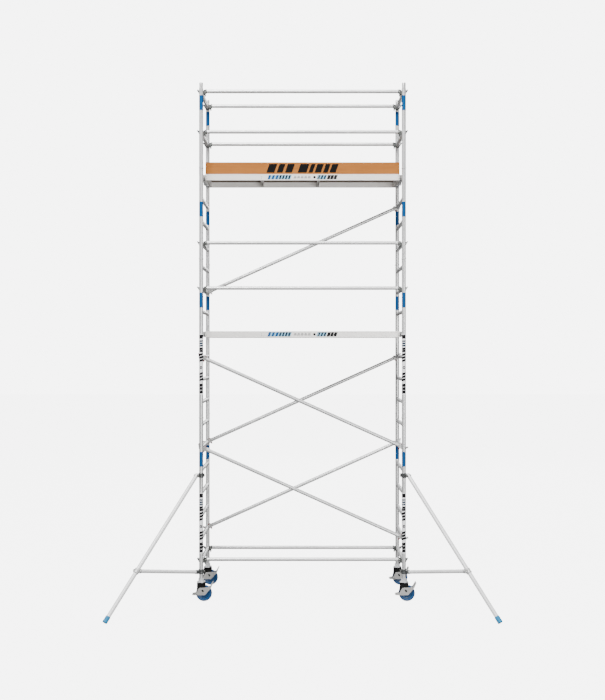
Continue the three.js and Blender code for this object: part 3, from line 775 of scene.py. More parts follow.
def platform_frame(level, place):
    beams, castings, clips, rivets = Shape(), Shape(), Shape(), Shape()
    for facing in (FACING_FRONT, FACING_REAR):
        slab(beams, [side_beam_section()], -DECK_X, DECK_X, place @ facing, lengthways=True)
    for row in (-1, 1):
        for x in (-END_X, *CROSS_X, END_X):
            for z in (-0.012, 0.006):
                dome(rivets, (x, row * DECK_Y, z), (0, row, 0), 0.0048, 0.0016, place)
        for step in range(-5, 6):
            head = (step * 0.2, row * (DECK_Y - 0.010), BEAM_TOP)
            dome(rivets, head, (0, 0, 1), 0.0042, 0.0014, place)
    inner, outer = (-0.0324, 0.0266), (-0.037, 0.039)
    for x, span in ((CROSS_X[0], inner), (CROSS_X[1], inner), (-END_X, outer), (END_X, outer)):
        slab(beams, [channel_section(x, *span)], -CROSS_REACH, CROSS_REACH, place, lengthways=True)
    for row in (-1, 1):
        for end in (-1, 1):
            at = place @ shift(end * HALF_BAY, row * 0.250, 0) @ turned_in(end)
            platform_hook(castings, clips, rivets, at)
    name = f"{level}_platform"
    beams.piece(f"{name}_beams", "tower", BEAM, "beam", replaces=[f"{name}_frame"])
    castings.piece(f"{name}_hooks", "tower", HOOK, "beam", bevel=0.0015)
    clips.piece(f"{name}_wind_locks", "tower", GALVANISED, "beam", bevel=0.0008)
    rivets.piece(f"{name}_rivets", "tower", BRIGHT_ZINC, "beam")


def rounded_box(x0, z0, x1, z1, radius, steps=4):
    outline = arc(x0 + radius, z0 + radius, radius, 180, 270, steps)
    outline += arc(x1 - radius, z0 + radius, radius, 270, 360, steps)
    outline += arc(x1 - radius, z1 - radius, radius, 0, 90, steps)
    return outline + arc(x0 + radius, z1 - radius, radius, 90, 180, steps)


def edge_faces(obj, axis, material, back=None):
    """Gives the cut edges of a board their own finish: the faces that don't look along the axis.
    back is the finish of the face that looks the other way along it."""
    obj.data.materials.append(material)
    if back:
        obj.data.materials.append(back)
    for polygon in obj.data.polygons:
        if abs(polygon.normal[axis]) < 0.7:
            polygon.material_index = 1
        elif back and polygon.normal[axis] < 0:
            polygon.material_index = 2


def deck(level, place):
    """The fixed board round the hatch's opening, and the hatch's own board."""
    left, right = CROSS_X
    outer = rounded_box(-BOARD_X, -BOARD_Y, BOARD_X, BOARD_Y, 0.004)
    opening = box_outline(left, -OPENING_Y, right, OPENING_Y)
    lid = rounded_box(left + 0.002, -HATCH_Y, right - 0.002, HATCH_Y, 0.006)
    hatch = f"{level}_hatch"
    for node, body, loops in ((f"{level}_deck_board", "tower", [outer, opening]), (hatch, hatch, [lid])):
        ply = Shape()
        slab(ply, loops, -BEAM_TOP, -BEAM_TOP + PLY, place @ FLAT, lengthways=True)
        board = ply.piece(f"{node}_ply", body, DECK_FACE, "deck_ply", replaces=[node], bevel=0.0006)
        edge_faces(board, 2, DECK_EDGE, DECK_BACK)
    hatch_fittings(level, place)


def hatch_fittings(level, place):
    """Two butt hinges at the rear edge, their knuckles on the hinge axis, and a lifting plate at the
    front round a black sheet of painted shade, which stands for the shaded depth of a finger hole."""
    still, moving, grip, shade_sheet = Shape(), Shape(), Shape(), Shape()
    top, leaf, up = BEAM_TOP, BEAM_TOP + 0.0016, (0, 0, 1)
    for x in (-0.400, 0.090):
        for index in range(5):
            shape, reach = (moving, -0.0045) if index % 2 else (still, 0.0045)
            left, right = x - 0.040 + index * 0.016, x - 0.0245 + index * 0.016
            rod(shape, (left, HINGE_Y, top), (right, HINGE_Y, top), 0.0034, place, sides=16)
            near, far = sorted((HINGE_Y, HINGE_Y + reach))
            block(shape, (left, near, top + 0.0002), (right, far, leaf), place)
        for shape, near, far, screws in ((moving, 0.209, 0.240, 0.223), (still, 0.248, 0.272, 0.262)):
            block(shape, (x - 0.040, near, top), (x + 0.040, far, leaf), place)
            for dx in (-0.026, 0.0, 0.026):
                dome(shape, (x + dx, screws, leaf), up, 0.0036, 0.0012, place, sides=12)
    for x in (-0.207, -0.103):
        dome(moving, (x, -0.195, top + 0.0018), up, 0.0036, 0.0012, place, sides=12)
    rim = rounded_box(-0.215, -0.225, -0.095, -0.165, 0.012)
    hole = rounded_box(-0.200, -0.210, -0.110, -0.180, 0.012)
    slab(grip, [rim, hole], -top - 0.0018, -top, place @ FLAT)
    # Painted shade: a black sheet in the grip plate's hole stands for the shaded depth of a finger hole;
    # the hatch board itself has no hole.
    floor = rounded_box(-0.201, -0.211, -0.109, -0.179, 0.012)
    slab(shade_sheet, [floor], -top - 0.0004, -top + 0.001, place @ FLAT)
    hatch = f"{level}_hatch"
    still.piece(f"{hatch}_hinge_leaves", "tower", BRIGHT_ZINC, "beam", bevel=0.0004)
    moving.piece(f"{hatch}_hinge_flaps", hatch, BRIGHT_ZINC, "deck_ply", bevel=0.0004)
    grip.piece(f"{hatch}_grip_plate", hatch, COLLAR, "deck_ply", bevel=0.0006)
    # The painted shade of the finger hole, as its own piece.
    shade_sheet.piece(f"{hatch}_grip_hole_painted_shade", hatch, PAINTED_SHADE_BLACK, "deck_ply")


TOE_LOW = 0.0404
TOE_TOP = 0.1874
TOE_X = 1.211
TOE_THICK = 0.020
# the left end and the width of each bar of the print
TOE_BARS = (
    (-0.450, 0.098),
    (-0.322, 0.072),
    (-0.218, 0.086),
    (-0.060, 0.110),
    (0.074, 0.052),
    (0.150, 0.080),
    (0.254, 0.060),
    (0.336, 0.078),
)


def slanted_bar(shape, left, low, width, height, near, place, slant=0.34):
    """A leaning bar printed on a face that looks along -Y; near is the face."""
    lean, right, high = height * slant, left + width, low + height
    outline = [(left, low), (right, low), (right + lean, high), (left + lean, high)]
    slab(shape, [outline], near - 0.0005, near + 0.0005, place)


def toe_board(name, half, near, axis, place):
    """A board along the local X axis, from y = near back. Its faces look along the world axis."""
    board = Shape()
    outline = rounded_box(-half, TOE_LOW, half, TOE_TOP, 0.006)
    slab(board, [outline], near, near + TOE_THICK, place, lengthways=True)
    node = f"toe_board_{name}"
    ply = board.piece(f"{node}_ply", "tower", TOE_FACE, "toe_ply", [node], bevel=0.003, segments=3)
    edge_faces(ply, axis, TOE_EDGE)


def corner_plates(place):
    """An angle plate in each inside corner of the toe boards."""
    plates = Shape()
    inside = DECK_Y - TOE_THICK
    for _, sign in SIDES:
        for _, row in ROWS:
            for x_far, x_near, deep in ((0.024, 0.020, 0.042), (0.062, 0.024, 0.004)):
                x0, x1 = sorted((sign * (TOE_X - x_far), sign * (TOE_X - x_near)))
                y0, y1 = sorted((row * (inside - deep), row * inside))
                block(plates, (x0, y0, 0.060), (x1, y1, 0.165), place)
            for z in (0.080, 0.145):
                head = (sign * (TOE_X - 0.045), row * (inside - 0.004), z)
                dome(plates, head, (0, -row, 0), 0.005, 0.0018, place)
    plates.piece("toe_board_corner_plates", "tower", BRIGHT_ZINC, "steel", bevel=0.0008)


def toe_boards(place):
    """Four boards standing on the deck, with plates in the corners and a generic print."""
    toe_board("front", TOE_X, -DECK_Y, 1, place)
    toe_board("rear", TOE_X, DECK_Y - TOE_THICK, 1, place)
    for side, sign in SIDES:
        turned = place @ shift(sign * (TOE_X - TOE_THICK / 2), 0, 0) @ FACING_REAR
        toe_board(side, DECK_Y - TOE_THICK - FRAME_GAP, -TOE_THICK / 2, 0, turned)
    corner_plates(place)
    bars = Shape()
    for left, width in TOE_BARS:
        slanted_bar(bars, left, 0.058, width, 0.108, -DECK_Y, place)
    bars.piece("toe_board_print", "tower", TOE_PRINT, "toe_ply")


def beam_decal(level, place):
    """Generic slanted bars on the front beam's outer face: two groups on pale films, fine lines
    between them, a small disc and a dark group."""
    blue, teal, dark, film, lines = Shape(), Shape(), Shape(), Shape(), Shape()
    face, low, tall = -DECK_Y, -0.026, 0.054
    for left, width in ((-0.432, 0.280), (0.172, 0.118)):
        slanted_bar(film, left, low, width, tall, face + 0.0002, place)
    for step in range(3):
        slanted_bar(blue, -0.437 + 0.048 * step, low, 0.028, tall, face, place)
    for left, count in ((-0.298, 4), (0.184, 3)):
        for step in range(count):
            slanted_bar(teal, left + 0.0377 * step, low, 0.024, tall, face, place)
    for step in range(5):
        slanted_bar(lines, -0.112 + 0.044 * step, -0.012, 0.034, 0.012, face, place)
        slanted_bar(lines, -0.106 + 0.044 * step, 0.008, 0.028, 0.008, face, place)
    slab(dark, [arc(0.149, low + tall / 2, 0.016, 0, 345, 23)], face - 0.0005, face + 0.0005, place)
    for step in range(3):
        slanted_bar(dark, 0.300 + 0.042 * step, low, 0.037, tall, face, place)
    film.piece(f"{level}_beam_pale_film", "tower", PALE_BLUE, "beam")
    blue.piece(f"{level}_beam_blue_bars", "tower", LABEL_BLUE, "beam")
    teal.piece(f"{level}_beam_teal_bars", "tower", DECAL_TEAL, "beam")
    dark.piece(f"{level}_beam_dark_bars", "tower", DECAL_BLACK, "beam")
    lines.piece(f"{level}_beam_grey_lines", "tower", DECAL_GREY, "beam")


def platforms():
    for level in ("lower", "upper"):
        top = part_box(f"{level}_platform_frame")[1].z
        place = TOWER @ shift(0, 0, top - BEAM_TOP)
        platform_frame(level, place)
        deck(level, place)
        beam_decal(level, place)
    toe_boards(place)


# ---- Adjustable legs and castors ----------------------------------------------------------------

SPINDLE_R = 0.019
THREAD_PITCH = 0.008
CROWN_TOP = 0.2294
WHEEL_R = 0.100
TRAIL = 0.036
PEDAL_X, PEDAL_Z = -0.048, 0.092


def thread(shape, bottom, top, place, sides=24, steps=6):
    """A rounded thread: rings whose radius follows the helix, closed at both ends."""
    verts = []
    count = int((top - bottom) / THREAD_PITCH * steps) + 1
    for row in range(count):
        z = bottom + (top - bottom) * row / (count - 1)
        for i in range(sides):
            turn = 2 * math.pi * i / sides
            phase = (z / THREAD_PITCH - i / sides) % 1.0
            crest = min(1.0, max(0.0, 2.2 * (1 - abs(2 * phase - 1)) - 0.6))
            r = SPINDLE_R - 0.0021 * (1 - crest)
            verts.append((r * math.cos(turn), r * math.sin(turn), z))
    add_rings(shape, verts, sides, place)


def lobes(inner, outer, count, power, steps=120, phase=0.0):
    outline = []
    for i in range(steps):
        turn = 2 * math.pi * i / steps
        wave = (0.5 + 0.5 * math.cos(count * (turn - phase))) ** power
        r = inner + (outer - inner) * wave
        outline.append((r * math.cos(turn), r * math.sin(turn)))
    return outline


def leg(corner, place):
    """The threaded spindle with its plain foot, and the adjusting nut: wings, hub and rim."""
    spindle, nut = Shape(), Shape()
    thread(spindle, CROWN_TOP + 0.010, 0.7098, place)
    foot = [(0.0001, 0.2298), (0.0186, 0.2298), (0.0190, 0.2302), (0.0190, 0.2394), (0.0168, 0.2404)]
    lathe(spindle, foot, 32, place)
    body = f"leg_{corner}"
    node = f"spindle_{corner}"
    spindle.piece(f"{body}_spindle", body, BRIGHT_ZINC, "steel", [node], angle=math.radians(50))
    bore = arc(0, 0, 0.0203, 0, -354, 59)
    for outline, low, high in (
        (lobes(0.0405, 0.0545, 4, 1.6, phase=0.4), 0.233, 0.247),
        (lobes(0.0312, 0.0338, 12, 0.7), 0.247, 0.2790),
        (lobes(0.0338, 0.0370, 4, 1.0, phase=0.4), 0.2465, 0.2535),
    ):
        slab(nut, [outline, bore], -high, -low, place @ FLAT)
    body = f"nut_{corner}"
    node = f"adjusting_nut_{corner}"
    nut.piece(f"{body}_collar", body, COLLAR, "steel", [node], 0.0018, 3, math.radians(45))


def fork(corner, place):
    """A pressed fork: a flat crown and two swaged cheeks, with the swivel race, axle and pins."""
    body = f"caster_{corner}"
    crown, race = Shape(), Shape()
    top = rounded_box(-0.050, -0.034, 0.054, 0.034, 0.007)
    hole = arc(0, 0, 0.0086, 0, -348, 29)
    slab(crown, [top, hole], -CROWN_TOP, -0.2205, place @ FLAT)
    cheek = [(-0.050, 0.2290), (-0.050, 0.165), (-0.0635, 0.104), (-0.060, 0.083), (-0.056, 0.0815)]
    cheek += [(-0.040, 0.0815), (-0.036, 0.084), (-0.006, 0.116), (-0.002, 0.1165), (0.018, 0.086)]
    cheek += [(0.022, 0.0835), (0.048, 0.0815), (0.052, 0.0835), (0.0615, 0.099), (0.0615, 0.103)]
    cheek += [(0.054, 0.165), (0.054, 0.2290)]
    cheeks(crown, [cheek], 0.027, 0.034, place)
    cheeks(crown, [box_outline(-0.038, 0.150, 0.040, 0.205)], 0.034, 0.0348, place)
    section = [(0.0088, 0.2040), (0.0250, 0.2040), (0.0258, 0.2075), (0.0240, 0.2090)]
    section += [(0.0262, 0.2110), (0.0262, 0.2175), (0.0240, 0.2206), (0.0088, 0.2206)]
    lathe(race, section, 40, place, closed=True)
    rod(race, (TRAIL, -0.0350, WHEEL_R), (TRAIL, 0.0350, WHEEL_R), 0.006, place)
    for way in (-1, 1):
        out = (0, way, 0)
        hex_head(race, (TRAIL, way * 0.0338, WHEEL_R), out, 0.0098, 0.0013, place)
        rod(race, (PEDAL_X, way * 0.028, PEDAL_Z), (PEDAL_X, way * 0.0410, PEDAL_Z), 0.005, place)
        dome(race, (PEDAL_X, way * 0.0394, PEDAL_Z), out, 0.0085, 0.0028, place)
    crown.piece(f"{body}_fork", body, BLACK_PAINT, "fork", [f"caster_fork_{corner}"], 0.0022, 3)
    race.piece(f"{body}_race", body, BRIGHT_ZINC, "fork")


def wheel(corner, place):
    """A tread, a centre with ten webs, and a bearing on each side."""
    body = f"wheel_{corner}"
    axle = place @ shift(TRAIL, 0, WHEEL_R) @ spin(math.pi / 2, "X")
    tread, hub, bearing = Shape(), Shape(), Shape()
    edge = [(0.0795, 0.0196), (0.0860, 0.0208), (0.0905, 0.0228), (0.0940, 0.0222)]
    edge += [(0.0972, 0.0196), (0.0992, 0.0140), (0.0999, 0.0070)]
    lathe(tread, both_sides(edge), 96, axle, closed=True)
    flank = [(0.0135, 0.0240), (0.0215, 0.0240), (0.0238, 0.0225), (0.0262, 0.0105)]
    flank += [(0.0300, 0.0080), (0.0620, 0.0080), (0.0665, 0.0105), (0.0690, 0.0190)]
    flank += [(0.0720, 0.0206), (0.0790, 0.0206), (0.0797, 0.0196)]
    lathe(hub, both_sides(flank), 96, axle, closed=True)
    web = [(0.0230, -0.0205), (0.0680, -0.0180), (0.0680, 0.0180), (0.0230, 0.0205)]
    for index in range(10):
        plate(hub, web, 0.0022, axle @ spin(2 * math.pi * index / 10, "Z"))
    ring = [(0.0066, 0.0262), (0.0110, 0.0264), (0.0128, 0.0252), (0.0136, 0.0236), (0.0066, 0.0232)]
    for way in (-1, 1):
        lathe(bearing, [(r, way * z) for r, z in ring], 32, axle, closed=True)
    tread.piece(f"{body}_tread", body, BLUE_TREAD, "wheel", replaces=[body])
    hub.piece(f"{body}_centre", body, BLUE_CENTRE, "wheel", bevel=0.0006)
    bearing.piece(f"{body}_bearings", body, BRIGHT_ZINC, "wheel")


def pedal(corner, place):
    """Two side plates on the fork's pins, a cross bar, and a ribbed toe plate."""
    body = f"pedal_{corner}"
    plates, ribs = Shape(), Shape()
    side = [(-0.110, 0.094), (-0.1085, 0.087), (-0.104, 0.0805), (-0.096, 0.0790), (-0.062, 0.078)]
    side += [(0.046, 0.079), (0.053, 0.084), (0.126, 0.168), (0.1515, 0.230), (0.1515, 0.2345)]
    side += [(0.146, 0.2395), (0.1425, 0.2385), (0.112, 0.186), (0.104, 0.1785), (0.094, 0.1775)]
    side += [(-0.016, 0.1700), (-0.024, 0.167), (-0.062, 0.104), (-0.070, 0.1015)]
    slot = shift(0.022, 0, 0.132) @ spin(math.radians(56), "Y")
    hole = []
    for x, z in arc(0.008, 0, 0.010, -90, 90, 10) + arc(-0.008, 0, 0.010, 90, 270, 10):
        point = slot @ Vector((x, 0, z))
        hole.append((point.x, point.z))
    pivot = arc(PEDAL_X, PEDAL_Z, 0.0056, 0, -345, 23)
    cheeks(plates, [side, hole, pivot], 0.0352, 0.0382, place)
    rod(plates, (-0.104, -0.038, 0.087), (-0.104, 0.038, 0.087), 0.006, place)
    toe = [(0.1180, 0.192), (0.1215, 0.1905), (0.1495, 0.232), (0.1455, 0.2375)]
    plate(plates, toe, 0.0362, place)
    direction = Vector((0.0275, 0, 0.0455)).normalized()
    for index in range(5):
        start = Vector((0.1192, 0, 0.1955)) + direction * (0.006 + 0.009 * index)
        rod(ribs, (start.x, -0.030, start.z), (start.x, 0.030, start.z), 0.0018, place, sides=10)
    plates.piece(f"{body}_plates", body, PEDAL_STEEL, "pedal", [f"brake_pedal_{corner}"], 0.0012, 3)
    ribs.piece(f"{body}_tread_ribs", body, PEDAL_STEEL, "pedal")


def legs():
    for row, y in ROWS:
        for side, x in SIDES:
            corner = f"{row}_{side}"
            place = TOWER @ shift(x * HALF_BAY, y * HALF_WIDTH, 0)
            leg(corner, place)
            fork(corner, place)
            wheel(corner, place)
            pedal(corner, place)


# ---- Stabilisers, with the upright's axis at x = 0 and the tube in the XZ plane -----------------

STAY_TOP = centre("stabiliser_clamp_left").z
STAY_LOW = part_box("stabiliser_arm_left")[0].z + 0.030
STAY_PIVOT = Vector((0.080, 0, STAY_TOP))
STAY_REACH = 1.480
STAY_ANGLE = 48.5  # degrees forward of the bay, seen from above
FOOT_R = 0.030
STAY_SLOPE = math.atan2(STAY_TOP, STAY_REACH - STAY_PIVOT.x)
STAY_END = Vector((STAY_REACH, 0, FOOT_R * math.sin(STAY_SLOPE)))
STAY_LENGTH = (STAY_END - STAY_PIVOT).length
STAY_ALONG = (STAY_END - STAY_PIVOT).normalized()
STAY_JOINT = 0.668 * STAY_LENGTH
HEEL = Vector((0.050, 0, STAY_LOW))


def stay_point(distance):
    return STAY_PIVOT + STAY_ALONG * distance


def half_coupler(shape, bolts, place, bore, wing):
    """A two-part clamp round the local Z axis, closed at -X by a bolt with a nut, and with a wing
    nut where wing is true."""
    r, half = 0.0332, 0.0285
    upper = [(bore, half), (r - 0.0035, half), (r - 0.0008, half - 0.004), (r, half - 0.009)]
    lathe(shape, both_sides([*upper, (r - 0.0022, 0.012)]), 48, place, closed=True)
    cheeks(shape, [rounded_box(-0.046, -0.020, -0.0262, 0.020, 0.006)], 0.0035, 0.0135, place)
    bolt = place @ shift(-0.038, 0, 0)
    rod(bolts, (0, -0.030, 0), (0, 0.024, 0), 0.0055, bolt, sides=16)
    hex_head(bolts, (0, 0.0135, 0), (0, 1, 0), 0.0098, 0.008, bolt)
    if wing:
        nut = bolt @ shift(0, -0.0135, 0)
        hub = [(0.0001, 0), (0.0105, 0), (0.0095, 0.010), (0.0001, 0.010)]
        lathe(bolts, hub, 20, nut @ along((0, 0, 0), (0, -1, 0)))
        ear = [(0.004, 0.003), (0.012, 0.010), (0.020, 0.023), (0.014, 0.027), (0.006, 0.014)]
        for way in (-1, 1):
            plate(bolts, [(x, way * z) for x, z in ear], 0.0022, nut @ FACING_FRONT)


def upper_clamp(shape, bolts, place):
    """The clamp on the upright, with two ears that hold the long tube's pivot bolt."""
    half_coupler(shape, bolts, place @ shift(0, 0, STAY_TOP), 0.0258, True)
    edge = [(0.027, 0.024), (0.034, 0.0245), (0.086, 0.017), (0.093, 0.010)]
    ear = [(x, STAY_TOP - z) for x, z in edge] + [(0.0955, STAY_TOP)]
    ear += [(x, STAY_TOP + z) for x, z in reversed(edge)]
    cheeks(shape, [ear], 0.0255, 0.0315, place)
    block(shape, (0.028, -0.0300, STAY_TOP - 0.022), (0.036, 0.0300, STAY_TOP + 0.022), place)
    rod(bolts, (0.080, -0.0330, STAY_TOP), (0.080, 0.0330, STAY_TOP), 0.006, place)
    for way in (-1, 1):
        hex_head(bolts, (0.080, way * 0.0315, STAY_TOP), (0, way, 0), 0.0110, 0.0075, place)


def foot_profile():
    """The ribbed rubber cap's section, from its open end."""
    profile = [(0.0243, 0), (0.0282, 0), (0.0292, 0.001), (0.0296, 0.003)]
    for rib in range(4):
        z = 0.012 + 0.012 * rib
        profile += [(0.0297, z), (0.0283, z + 0.0015), (0.0283, z + 0.0045), (0.0297, z + 0.006)]
    profile += [(0.0299, 0.066), (0.0297, 0.0755), (0.0285, 0.0776)]
    return profile + [(0.0001, 0.0778), (0.0001, 0.0620), (0.0243, 0.0620)]


def stabiliser(side, sign):
    """The long tube from its clamp to its foot, and the lower arm with a coupler at each end."""
    body = f"stabiliser_{side}"
    turn = math.radians(-STAY_ANGLE if sign > 0 else STAY_ANGLE - 180)
    place = TOWER @ shift(sign * HALF_BAY, -HALF_WIDTH, 0) @ spin(turn, "Z")
    tube, clamp, arm, foot, bolts = Shape(), Shape(), Shape(), Shape(), Shape()
    arm_clamp, tube_clamp = Shape(), Shape()
    pipe(tube, stay_point(-0.026), stay_point(STAY_LENGTH - 0.0165), 0.024, 0.0215, place)
    upper_clamp(clamp, bolts, place)
    half_coupler(arm_clamp, bolts, place @ shift(0, 0, STAY_LOW), 0.0258, True)
    block(arm_clamp, (0.0290, -0.0190, STAY_LOW - 0.021), (0.0790, 0.0190, STAY_LOW + 0.021), place)
    joint = stay_point(STAY_JOINT)
    reach = (joint - HEEL).normalized()
    pipe(arm, HEEL + reach * 0.016, joint - reach * 0.022, 0.0225, 0.0207, place)
    half_coupler(tube_clamp, bolts, place @ along(joint, joint + STAY_ALONG), 0.02425, False)
    neck = joint - reach * 0.034
    rod(tube_clamp, neck - reach * 0.030, neck, 0.0262, place, sides=36, chamfer=0.003)
    rod(arm_clamp, HEEL + reach * 0.016, HEEL + reach * 0.050, 0.0255, place, sides=36, chamfer=0.003)
    dome(bolts, HEEL + reach * 0.040 + Vector((0, -0.0252, 0)), (0, -1, 0), 0.0062, 0.003, place)
    start = STAY_LENGTH - 0.078
    lathe(foot, foot_profile(), 56, place @ along(stay_point(start), stay_point(start + 1)), closed=True)
    tube.piece(f"{body}_tube", body, STAY, "tube", [f"stabiliser_tube_{side}"])
    clamp.piece(f"{body}_upper_clamp", body, GALVANISED, "coupler", [f"stabiliser_clamp_{side}"], 0.0018, 3)
    arm.piece(f"{body}_arm", body, STAY, "tube", [f"stabiliser_arm_{side}"])
    arm_clamp.piece(f"{body}_arm_clamps", body, GALVANISED, "coupler", bevel=0.0018, segments=3)
    tube_clamp.piece(f"{body}_tube_clamp", body, COUPLER, "coupler", bevel=0.0018, segments=3)
    bolts.piece(f"{body}_bolts", body, BRIGHT_ZINC, "coupler")
    foot.piece(f"{body}_rubber_foot", body, FOOT_CYAN, "foot", [f"stabiliser_foot_{side}"])


# ---- Labels -------------------------------------------------------------------------------------

LABEL_HEIGHTS = (1.750, 3.710, 4.830, 6.140)
LABEL_LENGTH = 0.183


def patch(shape, corners, facing, place, columns, proud):
    """A thin film on an upright. corners are (arc length, height), anticlockwise from low left, and
    facing is the direction the middle looks, in degrees."""
    grid, count = [], columns + 1
    (u0, v0), (u1, v1), (u2, v2), (u3, v3) = corners
    for radius in (UPRIGHT_R - 0.0002, UPRIGHT_R + proud):
        for u_low, v_low, u_high, v_high in ((u0, v0, u1, v1), (u3, v3, u2, v2)):
            for i in range(count):
                t = i / columns
                turn = math.radians(facing) + (u_low + (u_high - u_low) * t) / UPRIGHT_R
                height = v_low + (v_high - v_low) * t
                grid.append((radius * math.cos(turn), radius * math.sin(turn), height))
    faces = []
    for i in range(columns):
        a, b, c, d = (i, i + 1, i + 1 + count, i + count)
        faces.append((d, c, b, a))
        faces.append((a + 2 * count, b + 2 * count, c + 2 * count, d + 2 * count))
        faces.append((a, b, b + 2 * count, a + 2 * count))
        faces.append((c, d, d + 2 * count, c + 2 * count))
    for i, flip in ((0, False), (columns, True)):
        face = (i + count, i, i + 2 * count, i + 3 * count)
        faces.append(tuple(reversed(face)) if flip else face)
    shape.add(grid, faces, place)


def leaning(half, low, rise, tall):
    """The corners of a strip across a tube, which climbs by rise from one side to the other."""
    return [(-half, low), (half, low + rise), (half, low + rise + tall), (-half, low + tall)]


def labels():
    """A blue wrap near the head of each frame, with a column of plain marks to the front or rear."""
    wraps, marks = Shape(), Shape()
    inside, outside = UPRIGHT_R - 0.0002, UPRIGHT_R + 0.0005
    for _, sign in SIDES:
        for _, way in ROWS:
            place = TOWER @ shift(sign * HALF_BAY, way * HALF_WIDTH, 0)
            for height in LABEL_HEIGHTS:
                low, high = height - LABEL_LENGTH / 2, height + LABEL_LENGTH / 2
                film = [(inside, low), (outside, low), (outside, high), (inside, high)]
                lathe(wraps, film, 48, place, closed=True)
                for step in range(9):
                    half = 0.005 if step % 3 else 0.008
                    corners = leaning(half, low + 0.018 + 0.0165 * step, 0.003, 0.007)
                    patch(marks, corners, 90 * way, place, 3, 0.0008)
    wraps.piece("frame_labels", "tower", LABEL_BLUE, "tube")
    marks.piece("frame_label_marks", "tower", LABEL_MARK, "tube")


DECAL_BOTTOMS = (0.601, 2.557)
DECAL_LENGTH = 0.726
# start above the bottom, how many, height, pitch, rise across the tube, teal or dark
DECAL_GROUPS = (
    (0.000, 3, 0.037, 0.0415, 0.006, False),
    (0.148, 3, 0.029, 0.0365, 0.022, False),
    (0.384, 3, 0.029, 0.0370, 0.022, False),
    (0.510, 2, 0.027, 0.0290, 0.004, False),
    (0.580, 3, 0.019, 0.0280, 0.004, True),
    (0.676, 1, 0.048, 0.0480, 0.004, False),
)
DECAL_HALF = 0.036
DECAL_DISC = 0.322
DISC_R = 0.019


def column_decals():
    """Groups of leaning dark bars on a white film up the front uprights, with a small plain ring."""
    dark, teal, film = Shape(), Shape(), Shape()
    for _, sign in SIDES:
        place = TOWER @ shift(sign * HALF_BAY, -HALF_WIDTH, 0)
        for bottom in DECAL_BOTTOMS:
            backing = leaning(0.039, bottom - 0.012, 0, DECAL_LENGTH + 0.024)
            patch(film, backing, -90, place, 14, 0.0003)
            for start, count, tall, pitch, rise, coloured in DECAL_GROUPS:
                for step in range(count):
                    corners = leaning(DECAL_HALF, bottom + start + step * pitch, rise, tall)
                    patch(teal if coloured else dark, corners, -90, place, 12, 0.0007)
            plain_disc(dark, bottom + DECAL_DISC, DISC_R, 0.0007, place)
            plain_disc(film, bottom + DECAL_DISC, DISC_R / 3, 0.0010, place)
    film.piece("column_decal_film", "tower", WHITE_FILM, "tube")
    dark.piece("column_decal_dark_bars", "tower", DECAL_BLACK, "tube")
    teal.piece("column_decal_teal_bars", "tower", DECAL_TEAL, "tube")


def plain_disc(shape, height, radius, proud, place, strips=12):
    for strip in range(strips):
        ends = [-radius + 2 * radius * (strip + i) / strips for i in (0, 1)]
        (v0, w0), (v1, w1) = [(height + v, math.sqrt(max(radius**2 - v * v, 1e-7))) for v in ends]
        patch(shape, [(-w0, v0), (w0, v0), (w1, v1), (-w1, v1)], -90, place, 10, proud)


# ---- Floor, light, camera -----------------------------------------------------------------------

WHITE = 6.5
FLOOR_GLOW = 6.05
AMBIENT = 0.30
FLOOR_SHADES = ((0.18, 0.18, 0.18), (0.20, 0.20, 0.20))
FLOOR_REACH = 60
CAMERA_DISTANCE = 12.84
CAMERA_HEIGHT = 3.095
LENS = 53.55


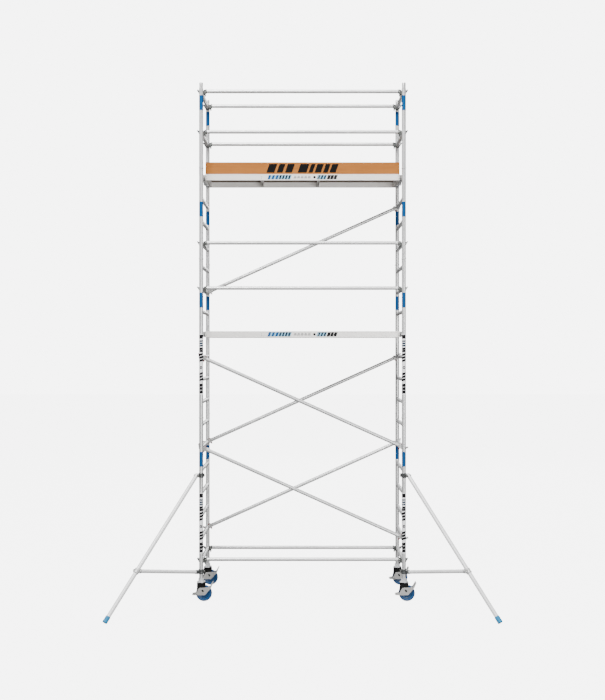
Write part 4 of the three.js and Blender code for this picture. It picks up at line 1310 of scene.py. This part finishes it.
def stage():
    mesh = bpy.data.meshes.new("studio_floor")
    corners = [(x, z, 0) for x, z in box_outline(-FLOOR_REACH, -FLOOR_REACH, FLOOR_REACH, FLOOR_REACH)]
    mesh.from_pydata(corners, [], [(0, 1, 2, 3)])
    floor = linked("studio_floor", mesh)
    n = Nodes("pale_floor", 0.0, 0.0)
    speckle = n.cloud(40.0, 3.0, 0.5)
    n.shader.inputs["Emission Color"].default_value = (1, 1, 1, 1)
    seen = n.new("ShaderNodeLightPath").outputs["Is Camera Ray"]
    n.link(n.maths("MULTIPLY", seen, FLOOR_GLOW), n.shader.inputs["Emission Strength"])
    mesh.materials.append(n.finish(n.mix(speckle, *FLOOR_SHADES), 0.9))
    world = bpy.data.worlds.new("studio")
    bpy.context.scene.world = world
    world.use_nodes = True
    tree = world.node_tree
    backdrop = tree.nodes["Background"]
    backdrop.inputs["Color"].default_value = (1, 1, 1, 1)
    backdrop.inputs["Strength"].default_value = WHITE
    ambient = tree.nodes.new("ShaderNodeBackground")
    ambient.inputs["Color"].default_value = (0.97, 0.985, 1, 1)
    ambient.inputs["Strength"].default_value = AMBIENT
    mix = tree.nodes.new("ShaderNodeMixShader")
    path = tree.nodes.new("ShaderNodeLightPath")
    tree.links.new(path.outputs["Is Camera Ray"], mix.inputs["Fac"])
    tree.links.new(ambient.outputs["Background"], mix.inputs[1])
    tree.links.new(backdrop.outputs["Background"], mix.inputs[2])
    tree.links.new(mix.outputs["Shader"], tree.nodes["World Output"].inputs["Surface"])


def lamp(name, at, target, size, power):
    light = bpy.data.lights.new(name, "AREA")
    light.size = size
    light.energy = power
    obj = linked(name, light)
    obj.location = at
    obj.rotation_euler = (Vector(target) - Vector(at)).to_track_quat("-Z", "Y").to_euler()


def camera():
    """Level and square to the bay, in front of the front uprights."""
    data = bpy.data.cameras.new("camera")
    data.lens = LENS
    data.sensor_width = 36
    data.clip_end = 200
    obj = linked("camera", data)
    obj.location = (MIDDLE_X, MIDDLE_Y - HALF_WIDTH - CAMERA_DISTANCE, CAMERA_HEIGHT)
    obj.rotation_euler = (math.pi / 2, 0, 0)
    bpy.context.scene.camera = obj


camera()
stage()
lamp("key", (-4, -9, 16), (0, 0, 3), 6, 4100)
lamp("fill", (4, -15, 2.8), (0, 0, 3.6), 5, 1350)
lamp("top", (0, -3, 15), (0, 0, 3), 5, 1100)
lamp("rear", (3, 16, 8), (0, 0, 3), 7, 1700)
lamp("left", (-16, 1, 7), (0, 0, 3), 5, 340)
lamp("right", (16, 1, 7), (0, 0, 3), 5, 340)

for side_name, side_sign in SIDES:
    for storey_name in STOREYS:
        end_frame(side_name, side_sign, storey_name)
interlock_clips()
braces()
platforms()
legs()
for side_name, side_sign in SIDES:
    stabiliser(side_name, side_sign)
labels()
column_decals()
